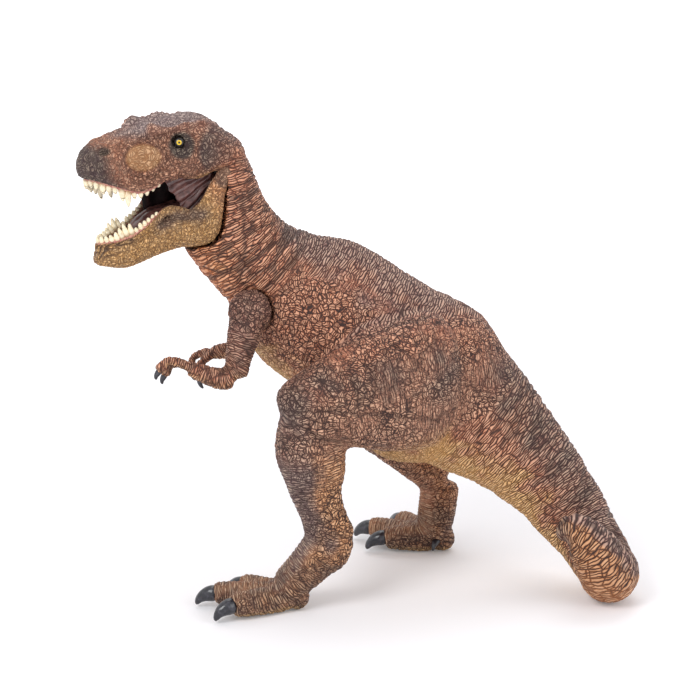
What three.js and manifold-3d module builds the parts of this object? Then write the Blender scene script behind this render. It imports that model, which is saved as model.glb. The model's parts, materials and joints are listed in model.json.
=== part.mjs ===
// A standing meat-eating dinosaur, a moulded plastic toy figure. It rests on two feet and the bend of
// its tail. The lower jaw turns on a pin through the head, and each arm turns on a peg in the chest.
// Sizes are in millimetres. +Z is up, the head looks towards -X and the animal's left side is -Y.
import * as THREE from "three";
import { mergeVertices } from "three/addons/utils/BufferGeometryUtils.js";
import Module from "manifold-3d";

const wasm = await Module();
wasm.setup();

// Trunk: the line from the skull through the hips to the bend of the tail
const HIP_HEIGHT = 75;
const TORSO_REACH = 75;
const TORSO_RISE = 75;
const TORSO_WIDTH = 52;
const TORSO_DEPTH = 66;
const NECK_SWING = 6;
const TAIL_REACH = 65;
const TAIL_SWING = 22;
const TAIL_WIDTH = 36;
const TAIL_DEPTH = 44;
const CURL_REACH = 20;
const CURL_RISE = 20;
const CURL_SWING = 12;
const CURL_GIRTH = 22;

// Legs
const LEG_STANDOFF = 12;
const LEFT_STRIDE = 50;
const RIGHT_STRIDE = 30;
const THIGH_WIDTH = 30;
const THIGH_DEPTH = 50;
const SHANK_WIDTH = 20;
const SHANK_DEPTH = 25;
const METATARSUS_WIDTH = 13;
const METATARSUS_DEPTH = 15;
const TOE_LENGTH = 28;
const TOE_GIRTH = 10.4;
const HEEL_GIRTH = 10.4;
const TOE_CLAW_LENGTH = 7.6;
const TOE_CLAW_GIRTH = 6;
const DEWCLAW_LENGTH = 4.5;
const DEWCLAW_GIRTH = 2.6;
const LEG_PEG_DIAMETER = 10;
const LEG_PEG_LENGTH = 14;
const LEG_PEG_ROOT = 5;
const TAIL_PEG_DIAMETER = 16;
const TAIL_PEG_LENGTH = 14;

// Arms
const UPPER_ARM_LENGTH = 22;
const FOREARM_LENGTH = 17;
const FINGER_LENGTH = 9;
const ARM_GIRTH = 13;
const FINGER_GIRTH = 3.6;
const FINGER_CLAW_LENGTH = 4.4;
const FINGER_CLAW_GIRTH = 2.2;
const SHOULDER_DIAMETER = 15.6;
const SHOULDER_DISC_DEPTH = 6;
const ARM_PEG_DIAMETER = 5;
const ARM_PEG_LENGTH = 6;
const ARM_CLEARANCE = 0.3;

// Head and jaw
const HEAD_LENGTH = 48;
const HEAD_WIDTH = 30;
const HEAD_HEIGHT = 20;
const JAW_DEPTH = 20;
const JAW_WIDTH = 29;
const JAW_WALL = 2.6;
const TONGUE_LENGTH = 26;
const TONGUE_WIDTH = 9;
const TONGUE_THICKNESS = 5;
const CHEEK_LAP = 1.2;
const CHEEK_DROP = 12;
const CHEEK_THICKNESS = 1.6;
const CHEEK_CLEARANCE = 0.3;
const JAW_PIN_DIAMETER = 2.4;
const JAW_CLEARANCE = 0.35;
const EYE_DIAMETER = 3.6;
const GUM_GIRTH = 2.2;
const TOOTH_LENGTH = 7.4;
const TOOTH_GIRTH = 2.1;
const NECK_PLUG_DIAMETER = 8;
const NECK_PLUG_LENGTH = 26;

// Skin folds of the trunk
const FOLD_PITCH = 12;
const FOLD_DEPTH = 0.9;

// Moulding
const WALL = 4;
const GLUE_GAP = 0.3;
const SOLE_FLAT = 0.5;
const OVERRUN = 200;

// Angles, in degrees
const HEAD_YAW = 27;
const JAW_GAPE = 25;
const JAW_CLOSING = 16;
const JAW_EXTRA_GAPE = 3;
const TOE_SPREAD = 27;
const LEFT_FOOT_YAW = -3;
const RIGHT_FOOT_YAW = -23;
const LEFT_ARM_ANGLE = 0;
const LEFT_ELBOW_ANGLE = 0;
const RIGHT_ARM_ANGLE = 12;
const RIGHT_ELBOW_ANGLE = 24;

// Counts
const TRUNK_SIDES = 24;
const LIMB_SIDES = 14;
const SMALL_SIDES = 10;
const TOOTH_SIDES = 6;
const UPPER_TEETH = 25;
const LOWER_TEETH = 21;
const RINGS_PER_FOLD = 4;

const radians = THREE.MathUtils.degToRad;
const point = (x, y, z) => new THREE.Vector3(x, y, z);
const UP = point(0, 0, 1);
const ALONG = point(1, 0, 0);
const SIDE = point(0, 1, 0);

// A station is a ring's centre with half its width and half its depth.
const station = (at, wide, deep = wide, power = 2) => ({ at, wide, deep, power });

// A closed swelling form: the rings of a sphere are moved onto stations along a smooth line. A share of
// its length at each end rounds off. Rings stand square to the line, or all square to a given axis. A
// dent, if given, says how far each point lies inside the smooth form.
function form(stations,
  { around, rings, capShares = [0.08, 0.08], axis = null, side = SIDE, grow = 0, dent = () => 0 }) {
  const line = new THREE.CatmullRomCurve3(stations.map((s) => s.at), false, "centripetal");
  const sizes = new THREE.CatmullRomCurve3(
    stations.map((s) => point(s.wide + grow, s.deep + grow, s.power)), false, "centripetal");
  const geometry = new THREE.SphereGeometry(1, around, rings);
  const position = geometry.getAttribute("position");
  const bend = (value, power) => Math.sign(value) * Math.abs(value) ** (2 / power);
  const evenShare = 0.6;
  for (let ring = 0; ring <= rings; ring++) {
    const even = ring / rings;
    const t = evenShare * even + (1 - evenShare) * (1 - Math.cos(Math.PI * even)) / 2;
    const centre = line.getPoint(t);
    const size = sizes.getPoint(t);
    const tangent = axis ? axis.clone() : line.getTangent(t);
    const across = side.clone().addScaledVector(tangent, -side.dot(tangent)).normalize();
    const over = tangent.clone().cross(across);
    const startRound = Math.min(1, t / capShares[0]);
    const endRound = Math.min(1, (1 - t) / capShares[1]);
    const round = Math.sqrt(1 - (1 - startRound) ** 2) * Math.sqrt(1 - (1 - endRound) ** 2);
    if (grow > 0) {
      const reach = startRound < 1 ? startRound - 1 : 1 - endRound;
      centre.addScaledVector(tangent, grow * reach);
    }
    for (let k = 0; k <= around; k++) {
      const angle = (k % around) / around * 2 * Math.PI;
      const inside = dent(ring, angle);
      const x = -bend(Math.cos(angle), size.z) * (size.x - inside) * round;
      const z = bend(Math.sin(angle), size.z) * (size.y - inside) * round;
      const at = centre.clone().addScaledVector(across, x).addScaledVector(over, z);
      position.setXYZ(ring * (around + 1) + k, at.x, at.y, at.z);
    }
  }
  return solid(geometry);
}

// A three.js geometry as a solid that can be joined and cut.
function solid(geometry) {
  const bare = geometry.clone();
  bare.deleteAttribute("normal");
  bare.deleteAttribute("uv");
  const merged = mergeVertices(bare);
  return new wasm.Manifold(new wasm.Mesh({
    numProp: 3,
    vertProperties: new Float32Array(merged.getAttribute("position").array),
    triVerts: new Uint32Array(merged.index.array),
  }));
}

// A solid as a three.js geometry again.
function geometryOf(made) {
  const mesh = made.getMesh();
  return new THREE.BufferGeometry()
    .setAttribute("position", new THREE.BufferAttribute(mesh.vertProperties, 3))
    .setIndex(new THREE.BufferAttribute(mesh.triVerts, 1))
    .toNonIndexed();
}

const placed = (made, matrix) => made.transform(matrix.elements);
const joined = (...solids) => solids.reduce((whole, next) => whole.add(next));

// A round bar from one point to another.
function bar(from, to, diameter, sides = SMALL_SIDES) {
  const line = to.clone().sub(from);
  const geometry = new THREE.CylinderGeometry(diameter / 2, diameter / 2, line.length(), sides);
  geometry.applyQuaternion(new THREE.Quaternion().setFromUnitVectors(SIDE, line.clone().normalize()));
  const middle = from.clone().addScaledVector(line, 1 / 2);
  geometry.translate(middle.x, middle.y, middle.z);
  return solid(geometry);
}

// A round ball.
function ball(centre, diameter, sides = SMALL_SIDES) {
  const geometry = new THREE.SphereGeometry(diameter / 2, sides, sides / 2);
  geometry.translate(centre.x, centre.y, centre.z);
  return solid(geometry);
}

// Everything on the far side of a plane, for cutting.
function beyond(at, normal) {
  const geometry = new THREE.BoxGeometry(OVERRUN * 2, OVERRUN * 2, OVERRUN * 2);
  geometry.translate(0, 0, OVERRUN);
  geometry.applyQuaternion(new THREE.Quaternion().setFromUnitVectors(UP, normal));
  geometry.translate(at.x, at.y, at.z);
  return solid(geometry);
}

const belowFloor = beyond(point(0, 0, 0), point(0, 0, -1));

// Trunk stations. Each row: ahead of the hips, aside, above the hips, width and depth.
const torsoShares = [
  [1.01, 1, 1.15, 0.42, 0.32],
  [0.99, 1, 1, 0.48, 0.42],
  [0.945, 0.67, 0.77, 0.54, 0.52],
  [0.835, 0.33, 0.62, 0.6, 0.515],
  [0.715, 0.1, 0.505, 0.69, 0.62],
  [0.59, 0, 0.4, 0.81, 0.81],
  [0.4, 0, 0.275, 0.92, 0.86],
  [0.21, 0, 0.125, 1, 0.91],
  [0, 0, -0.01, 1, 0.97],
];
// Tail stations. Each row: behind the hips, aside, height as a share of the hips', width and depth.
const tailShares = [
  [0.23, 0, 0.855, 1.17, 1.15],
  [0.46, 0.05, 0.69, 0.97, 0.9],
  [0.65, 0.14, 0.53, 0.83, 0.72],
  [0.81, 0.32, 0.36, 0.69, 0.62],
  [0.93, 0.64, 0.225, 0.63, 0.54],
];
// Curl stations. Each row: ahead of the bend, further aside, above the bend, and girth.
const curlShares = [
  [0.04, 0.6, 0.1, 0.98],
  [0.3, 1, 0.56, 0.85],
  [0.58, 0.96, 0.92, 0.62],
  [0.78, 0.88, 0.96, 0.43],
  [0.92, 0.8, 0.7, 0.2],
];

const bendHeight = CURL_GIRTH / 2 - SOLE_FLAT;
const bendAt = point(TAIL_REACH, -TAIL_SWING, bendHeight);
const torsoStations = torsoShares.map(([ahead, aside, above, wide, deep]) =>
  station(point(-ahead * TORSO_REACH, -aside * NECK_SWING, HIP_HEIGHT + above * TORSO_RISE),
    wide * TORSO_WIDTH / 2, deep * TORSO_DEPTH / 2));
const tailStations = tailShares.map(([behind, aside, height, wide, deep]) =>
  station(point(behind * TAIL_REACH, -aside * TAIL_SWING, height * HIP_HEIGHT),
    wide * TAIL_WIDTH / 2, deep * TAIL_DEPTH / 2));
const bendStation = station(bendAt, CURL_GIRTH / 2);
const curlStations = curlShares.map(([ahead, aside, above, girth]) =>
  station(bendAt.clone().add(point(-ahead * CURL_REACH, -aside * CURL_SWING, above * CURL_RISE)),
    girth * CURL_GIRTH / 2));
// The trunk ends inside the curl, and the curl starts inside the trunk.
const overlapShare = 0.94;
const slimmer = (s) => station(s.at, overlapShare * s.wide, overlapShare * s.deep);
const [curlRoot, curlSecond] = tailStations.slice(-2);
const trunkStations = [...torsoStations, ...tailStations.slice(0, -1), slimmer(curlSecond),
  slimmer(bendStation)];

// The folds of the skin cross the trunk from the neck to the curl. Each wanders round the body, deep on
// the belly and shallow along the back.
const trunkLength = new THREE.CatmullRomCurve3(trunkStations.map((s) => s.at), false, "centripetal")
  .getLength();
const foldRings = RINGS_PER_FOLD * Math.round(trunkLength / FOLD_PITCH);
const foldHalfWidthShare = 0.32;
const foldWanderShare = 0.3;
const backDepthShare = 0.45;
const firstFold = 3;
const lastFold = foldRings / RINGS_PER_FOLD - 4;
function foldDent(ring, angle) {
  const place = ring / RINGS_PER_FOLD;
  const fold = Math.min(Math.max(Math.round(place), firstFold), lastFold);
  const wander = foldWanderShare * Math.sin(2 * angle + 2 * fold) + foldWanderShare / 3 * Math.sin(5 * angle);
  const near = Math.abs(place - fold - wander);
  const onBack = (1 + Math.sin(angle)) / 2;
  const depth = FOLD_DEPTH * (1 - (1 - backDepthShare) * onBack);
  return depth * Math.max(0, 1 - near / foldHalfWidthShare);
}
const trunkForm = (grow = 0, dent = () => 0) => form(trunkStations,
  { around: TRUNK_SIDES, rings: foldRings, capShares: [0.04, 0.06], grow, dent });
const curlForm = (grow = 0) => form([slimmer(curlRoot), curlSecond, bendStation, ...curlStations],
  { around: TRUNK_SIDES - 6, rings: 22, capShares: [0.06, 0.1], side: point(0, 1, 1).normalize(), grow });

// Head frame: its origin is the jaw hinge, +X to the snout, +Y to the animal's left
const hingeShares = [1.023, 1, 1.044];
const hingeAt = point(-hingeShares[0] * TORSO_REACH, -hingeShares[1] * NECK_SWING,
  HIP_HEIGHT + hingeShares[2] * TORSO_RISE);
const headFrame = new THREE.Matrix4()
  .makeRotationZ(Math.PI + radians(HEAD_YAW))
  .setPosition(hingeAt);
const jawTurn = (degrees) => new THREE.Matrix4().makeRotationY(radians(degrees));

// Skull rows: ahead, underside, top, half width and squareness, as shares of the head's sizes
const skullShares = [
  [-0.26, 0.02, 0.36, 0.64, 2.2],
  [-0.14, -0.06, 0.61, 0.86, 2.3],
  [-0.02, -0.12, 0.83, 0.97, 2.4],
  [0.1, -0.16, 0.95, 1, 2.6],
  [0.22, -0.17, 0.96, 0.97, 2.9],
  [0.33, -0.12, 0.93, 0.9, 2.9],
  [0.45, -0.08, 0.86, 0.79, 2.9],
  [0.6, -0.21, 0.77, 0.71, 2.9],
  [0.74, -0.16, 0.7, 0.63, 2.8],
  [0.86, -0.04, 0.62, 0.55, 2.7],
  [0.94, -0.02, 0.5, 0.44, 2.5],
  [1, 0, 0.3, 0.25, 2.3],
];
// Jaw rows: ahead, underside and rim as shares of the head's length and the jaw's depth, half width
const jawShares = [
  [-0.06, -0.14, 0.11, 0.92, 2.4],
  [0.05, -0.48, 0.11, 0.99, 2.6],
  [0.14, -0.9, 0.03, 1, 2.6],
  [0.23, -1.14, -0.09, 0.97, 2.5],
  [0.33, -1.12, -0.17, 0.88, 2.5],
  [0.46, -0.98, -0.02, 0.7, 2.5],
  [0.64, -0.88, -0.1, 0.56, 2.6],
  [0.77, -0.85, -0.15, 0.49, 2.6],
  [0.88, -0.8, -0.12, 0.42, 2.6],
  [0.96, -0.64, -0.03, 0.33, 2.4],
  [1.01, -0.38, -0.12, 0.16, 2.2],
];
const boxRows = (shares, length, depth, width) => shares.map(([ahead, low, high, wide, power]) =>
  station(point(ahead * length, 0, (low + high) / 2 * depth), wide * width / 2,
    (high - low) / 2 * depth, power));
const skullForm = (grow = 0) => form(boxRows(skullShares, HEAD_LENGTH, HEAD_HEIGHT, HEAD_WIDTH),
  { around: TRUNK_SIDES - 4, rings: 22, capShares: [0.06, 0.05], axis: ALONG, grow });
const jawForm = (grow = 0) => form(boxRows(jawShares, HEAD_LENGTH, JAW_DEPTH, JAW_WIDTH),
  { around: TRUNK_SIDES - 6, rings: 20, capShares: [0.06, 0.05], axis: ALONG, grow });

// The hollow of the jaw: open above and behind, with a floor for the tongue
const jawHollowShares = [
  [-0.3, -0.62, 1.2, 1, 2.6],
  [0.05, -0.7, 1.2, 1, 2.6],
  [0.22, -0.84, 1.2, 1, 2.8],
  [0.36, -0.7, 1, 0.88, 2.8],
  [0.5, -0.5, 0.8, 0.68, 2.8],
  [0.7, -0.42, 0.7, 0.51, 2.8],
  [0.88, -0.38, 0.6, 0.39, 2.6],
  [0.95, -0.36, 0.5, 0.25, 2.4],
];
const jawHollow = form(
  boxRows(jawHollowShares, HEAD_LENGTH, JAW_DEPTH, JAW_WIDTH - 2 * JAW_WALL),
  { around: LIMB_SIDES, rings: 18, capShares: [0.03, 0.05], axis: ALONG });

// The roof of the mouth, hollowed into the skull inside the lips
const palateShares = [
  [0.1, -0.5, 0.12, 0.66, 2.8],
  [0.3, -0.5, 0.17, 0.66, 2.8],
  [0.5, -0.6, 0.22, 0.6, 2.8],
  [0.7, -0.6, 0.2, 0.47, 2.6],
  [0.87, -0.5, 0.14, 0.34, 2.4],
];
const palate = form(boxRows(palateShares, HEAD_LENGTH, HEAD_HEIGHT, HEAD_WIDTH),
  { around: LIMB_SIDES, rings: 12, capShares: [0.1, 0.08], axis: ALONG });

// The room inside the mouth, in front of the throat, kept clear of the neck
const mouthRoomShares = [
  [0.02, -0.5, 0.5, 1.16, 4],
  [0.3, -0.6, 0.5, 1.16, 4],
  [0.6, -0.6, 0.5, 1.16, 4],
];
const mouthRoom = form(boxRows(mouthRoomShares, HEAD_LENGTH, HEAD_HEIGHT, HEAD_WIDTH),
  { around: SMALL_SIDES, rings: 12, capShares: [0.03, 0.03], axis: ALONG });

// A horseshoe gum with a row of teeth. Rows: ahead, aside and up; lengths run from the front to the back.
const upperGumShares = [
  [0.43, 0.69, -0.06],
  [0.5, 0.67, -0.08],
  [0.6, 0.62, -0.16],
  [0.74, 0.53, -0.11],
  [0.86, 0.43, 0.0],
  [0.925, 0.27, 0.03],
  [0.95, 0, 0.04],
];
const upperToothShares = [0.42, 0.5, 0.48, 0.66, 0.9, 1, 0.86, 0.8, 0.62, 0.5, 0.4, 0.3, 0.22];
const lowerGumShares = [
  [0.47, 0.54, 0.0],
  [0.56, 0.45, -0.05],
  [0.66, 0.41, -0.12],
  [0.77, 0.35, -0.13],
  [0.87, 0.27, -0.1],
  [0.93, 0.16, -0.05],
  [0.945, 0, -0.03],
];
const lowerToothShares = [0.44, 0.48, 0.5, 0.54, 0.72, 0.76, 0.54, 0.46, 0.38, 0.3, 0.24];

// A tooth narrows to its tip, and the row's first and last teeth stand a little inside the gum's ends.
const toothMiddleShare = 0.55;
const toothTaperShares = [1, 0.78, 0.2];
const rowEndShare = 0.03;

function makeTooth(root, tip, girth, grow) {
  const line = [root, root.clone().lerp(tip, toothMiddleShare), tip];
  const stations = line.map((at, k) => station(at, toothTaperShares[k] * girth));
  return form(stations, { around: TOOTH_SIDES - 1, rings: 4, capShares: [0.1, 0.1], side: ALONG, grow });
}

function toothRow(gumShares, toothShares, count, width, height, down, grow = 0) {
  const half = gumShares.map(([ahead, aside, up]) =>
    point(ahead * HEAD_LENGTH, aside * width / 2, up * height));
  const mirrored = half.slice(0, -1).reverse().map((p) => point(p.x, -p.y, p.z));
  const line = [...half, ...mirrored];
  const girth = GUM_GIRTH / 2;
  const gum = form(line.map((p) => station(p, girth)),
    { around: TOOTH_SIDES, rings: 20, capShares: [0.03, 0.03], side: UP, grow });
  const curve = new THREE.CatmullRomCurve3(line, false, "centripetal");
  const teeth = [];
  for (let k = 0; k < count; k++) {
    const t = rowEndShare + (1 - 2 * rowEndShare) * k / (count - 1);
    const fromFront = Math.abs(k - (count - 1) / 2);
    const length = toothShares[Math.round(fromFront)] * TOOTH_LENGTH;
    const root = curve.getPointAt(t);
    const tip = root.clone().addScaledVector(UP, down ? -length : length);
    const outward = point(0, root.y, 0).multiplyScalar(1 / width);
    tip.addScaledVector(outward, down ? 0 : length / 2);
    teeth.push(makeTooth(root, tip, Math.min(TOOTH_GIRTH, length / 2 + TOOTH_GIRTH / 4) / 2, grow));
  }
  return joined(gum, ...teeth);
}
const upperTeeth = (grow) =>
  toothRow(upperGumShares, upperToothShares, UPPER_TEETH, HEAD_WIDTH, HEAD_HEIGHT, true, grow);
const lowerTeeth = (grow) =>
  toothRow(lowerGumShares, lowerToothShares, LOWER_TEETH, JAW_WIDTH, JAW_DEPTH, false, grow);

// The throat block, with the folded muscle that shows behind the corner of the mouth on each side
const throatShares = [
  [-0.05, -0.45, 0.24, 0.52, 2.4],
  [0.0, -0.55, 0.22, 0.55, 2.6],
  [0.08, -0.55, 0.18, 0.55, 2.6],
  [0.15, -0.35, 0.12, 0.52, 2.6],
];
const cheekOutlineShares = [
  [-0.1, 0.25], [0.3, 0.2], [0.98, 0], [0.8, -0.42], [0.58, -0.84], [0.2, -0.75], [-0.1, -0.55]];
const cheekFromShare = 0.08;
const cheekFrom = cheekFromShare * HEAD_LENGTH;
const cheekLength = upperGumShares[0][0] * HEAD_LENGTH + CHEEK_LAP - cheekFrom;
const insideGum = upperGumShares[0][1] * HEAD_WIDTH / 2 - GUM_GIRTH / 2;
const insideJaw = jawHollowShares[3][3] * (JAW_WIDTH / 2 - JAW_WALL);
const cheekAside = Math.min(insideGum, insideJaw) - CHEEK_CLEARANCE - CHEEK_THICKNESS / 2;
function throatForm(grow = 0) {
  const block = form(boxRows(throatShares, HEAD_LENGTH, HEAD_HEIGHT, HEAD_WIDTH),
    { around: LIMB_SIDES, rings: 10, capShares: [0.12, 0.12], axis: ALONG, grow });
  const outline = new THREE.Shape(
    cheekOutlineShares.map(([ahead, up]) => new THREE.Vector2(ahead * cheekLength, up * CHEEK_DROP)));
  const sheets = [-1, 1].map((hand) => {
    const thick = CHEEK_THICKNESS + 2 * grow;
    const geometry = new THREE.ExtrudeGeometry(outline, { depth: thick, bevelEnabled: false });
    geometry.rotateX(Math.PI / 2);
    geometry.translate(cheekFrom, hand * cheekAside + thick / 2, 0);
    return solid(geometry);
  });
  return joined(block, ...sheets);
}

// Eyes sit in sockets under the brow
const eyeShares = [0.335, 0.8, 0.62];
const eyeAt = (hand) => point(eyeShares[0] * HEAD_LENGTH, hand * eyeShares[1] * HEAD_WIDTH / 2,
  eyeShares[2] * HEAD_HEIGHT);

// Brow ridges, and the rough boss in front of them, as small swellings along the top of the skull
const browShares = [[0.14, 0.6, 0.8], [0.3, 0.68, 0.83], [0.44, 0.6, 0.83], [0.62, 0.42, 0.66]];
const browGirthShare = 0.2;
const brow = (hand) => form(
  browShares.map(([ahead, aside, up]) => station(
    point(ahead * HEAD_LENGTH, hand * aside * HEAD_WIDTH / 2, up * HEAD_HEIGHT),
    browGirthShare * HEAD_WIDTH / 2, browGirthShare * HEAD_HEIGHT / 2)),
  { around: SMALL_SIDES, rings: 8, capShares: [0.25, 0.25] });

// The neck plug leaves the back of the skull along the neck
const neckLine = torsoStations[3].at.clone().sub(torsoStations[1].at).normalize();
const plugShares = [-0.11, 0.3];
const plugFrom = point(plugShares[0] * HEAD_LENGTH, 0, plugShares[1] * HEAD_HEIGHT).applyMatrix4(headFrame);
const plugTo = plugFrom.clone().addScaledVector(neckLine, NECK_PLUG_LENGTH);
const neckPlug = (grow = 0) => bar(plugFrom, plugTo, NECK_PLUG_DIAMETER + 2 * grow, LIMB_SIDES);
const toHead = headFrame.clone().invert();

const pinReachShare = 0.8;
function pinBar(grow = 0) {
  const reach = pinReachShare * JAW_WIDTH / 2;
  const end = point(0, reach + grow, 0);
  return bar(end.clone().negate(), end, JAW_PIN_DIAMETER + 2 * grow, LIMB_SIDES);
}
const jawTurns = [JAW_GAPE - JAW_CLOSING, JAW_GAPE - JAW_CLOSING / 2, JAW_GAPE, JAW_GAPE + JAW_EXTRA_GAPE];
const swept = (made) => jawTurns.map((turn) => placed(made, jawTurn(turn)));
const sweptJaw = swept(jawForm(JAW_CLEARANCE));

function makeSkull() {
  const eyes = [-1, 1].map((hand) => ball(eyeAt(hand), EYE_DIAMETER + 2 * GLUE_GAP, LIMB_SIDES));
  const cuts = [palate, throatForm(GLUE_GAP), upperTeeth(GLUE_GAP), pinBar(GLUE_GAP), ...sweptJaw, ...eyes];
  const skull = joined(skullForm(), brow(-1), brow(1));
  const plug = placed(neckPlug(), toHead);
  return cuts.reduce((left, cut) => left.subtract(cut), skull).add(plug.subtract(throatForm(GLUE_GAP)));
}

function makeJaw() {
  return [jawHollow, lowerTeeth(GLUE_GAP), tongueForm(GLUE_GAP), pinBar(JAW_CLEARANCE)]
    .reduce((left, cut) => left.subtract(cut), jawForm());
}

// The tongue lies on the jaw's floor and arches up towards its tip
const tongueShares = [
  [0, -0.2, 0.8, 1],
  [0.3, 0.1, 1, 1.05],
  [0.6, 0.45, 1.05, 1],
  [0.86, 0.75, 0.95, 0.85],
  [1, 0.62, 0.6, 0.6],
];
const tongueFromShares = [0.18, -0.44];
const tongueFrom = point(tongueFromShares[0] * HEAD_LENGTH, 0, tongueFromShares[1] * JAW_DEPTH);
function tongueForm(grow = 0) {
  const stations = tongueShares.map(([ahead, up, wide, thick]) => station(
    tongueFrom.clone().add(point(ahead * TONGUE_LENGTH, 0, up * TONGUE_THICKNESS)),
    wide * TONGUE_WIDTH / 2, thick * TONGUE_THICKNESS / 2));
  return form(stations, { around: SMALL_SIDES, rings: 12, capShares: [0.12, 0.12], grow });
}

// The throat leaves room for the pin and for the tongue as the jaw turns
function makeThroat() {
  return [pinBar(GLUE_GAP), ...swept(tongueForm(JAW_CLEARANCE))]
    .reduce((left, cut) => left.subtract(cut), throatForm());
}

// Leg rows: ahead of the hips, aside, height as a share of the hips', width and depth
const leftLegShares = {
  thighShares: [[-0.22, 0.38, 1.07, 0.75, 0.9], [0.04, 0.62, 1.07, 1, 1], [0.34, 0.84, 1.05, 1.05, 0.92],
    [0.62, 1, 1.01, 0.97, 0.68], [0.85, 1.1, 0.955, 0.85, 0.56], [0.98, 1.12, 0.9, 0.68, 0.44]],
  shankShares: [[0.86, 1.12, 0.93, 1.1, 0.88], [0.82, 1.12, 0.8, 1.05, 1], [0.79, 1.11, 0.69, 0.95, 0.92],
    [0.78, 1.09, 0.6, 0.83, 0.77], [0.73, 1.08, 0.48, 0.68, 0.65], [0.68, 1.05, 0.37, 0.65, 0.72],
    [0.67, 1.04, 0.33, 0.58, 0.6]],
  metatarsusShares: [[0.63, 1.05, 0.38, 1, 1.2], [0.75, 1.05, 0.28, 0.98, 1.12],
    [0.86, 1.04, 0.195, 1.08, 1], [0.96, 1.03, 0.13, 1.3, 0.88], [1.04, 1.03, 0.09, 1.25, 0.74]],
  ballShares: [0.96, 1.03],
  heelShares: [0.92, 1.03],
};
const rightLegShares = {
  thighShares: [[-0.37, 0.38, 1.07, 0.75, 0.85], [0.03, 0.62, 1.03, 1, 0.95], [0.43, 0.81, 0.95, 1, 0.82],
    [0.73, 0.94, 0.86, 0.9, 0.6], [0.9, 1, 0.79, 0.8, 0.48], [0.97, 1, 0.74, 0.62, 0.36]],
  shankShares: [[0.93, 1, 0.79, 1.1, 0.85], [0.7, 1, 0.71, 1.05, 0.95], [0.4, 0.99, 0.6, 0.95, 0.85],
    [0.1, 0.97, 0.49, 0.82, 0.72], [-0.13, 0.96, 0.4, 0.7, 0.62], [-0.27, 0.95, 0.35, 0.6, 0.5]],
  metatarsusShares: [[-0.24, 0.95, 0.38, 0.95, 1.02], [-0.21, 0.95, 0.28, 0.95, 1],
    [-0.18, 0.94, 0.18, 1.15, 0.98], [-0.14, 0.93, 0.11, 1.3, 0.88], [-0.09, 0.93, 0.085, 1.25, 0.72]],
  ballShares: [-0.19, 0.91],
  heelShares: [-0.26, 0.91],
};
// Toes: spread, and length as a share of the middle toe's
const toeShares = [["outer", 1.2, 0.86], ["middle", 0, 1], ["inner", -1, 0.74]];
// Toe stations. Each row: share of the toe's length, height and girth.
const toeFormShares = [[0, 0, 1], [0.35, 0.02, 1], [0.7, 0.08, 0.94], [0.92, 0.12, 0.84], [1, 0.05, 0.55]];
const toeClawRootShares = [0.94, 0.12];
// Claw stations. Each row: ahead, drop and girth.
const clawShares = [[-0.12, 0, 0.9], [0.2, 0, 1], [0.55, 0.18, 0.78], [0.8, 0.5, 0.48], [0.94, 0.95, 0.14]];
const toeClawDropShare = 0.62;
const dewclawDropShare = 0.7;
const dewclawRootShare = 0.86;

const stance = TORSO_WIDTH + LEG_STANDOFF;
const legRows = (rows, stride, hand, width, depth) => rows.map(([ahead, aside, height, wide, deep]) =>
  station(point(-ahead * stride, hand * aside * stance / 2, height * HIP_HEIGHT),
    wide * width / 2, deep * depth / 2));

// A toe lies on the floor from the ball of the foot, and its claw curves down from a pocket in its end.
function makeToe(from, heading, length) {
  const girth = TOE_GIRTH / 2;
  const low = girth - SOLE_FLAT;
  const along = ([share, up]) =>
    from.clone().addScaledVector(heading, share * length).setZ(low + up * girth);
  const toe = form(toeFormShares.map((row) => station(along(row), row[2] * girth)),
    { around: SMALL_SIDES + 2, rings: 12, capShares: [0.1, 0.1] });
  const root = along(toeClawRootShares);
  const claw = (grow = 0) =>
    makeClaw(root, heading, TOE_CLAW_LENGTH, TOE_CLAW_GIRTH, toeClawDropShare, grow);
  return { toe, claw };
}

// A claw tapers along a quarter turn, from straight ahead to nearly straight down.
function makeClaw(root, heading, length, girth, dropShare, grow) {
  const stations = clawShares.map(([ahead, drop, swell]) => station(
    root.clone().addScaledVector(heading, ahead * length).addScaledVector(UP, -drop * dropShare * length),
    swell * girth / 2));
  return form(stations, { around: SMALL_SIDES - 2, rings: 8, capShares: [0.12, 0.08], grow });
}

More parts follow.
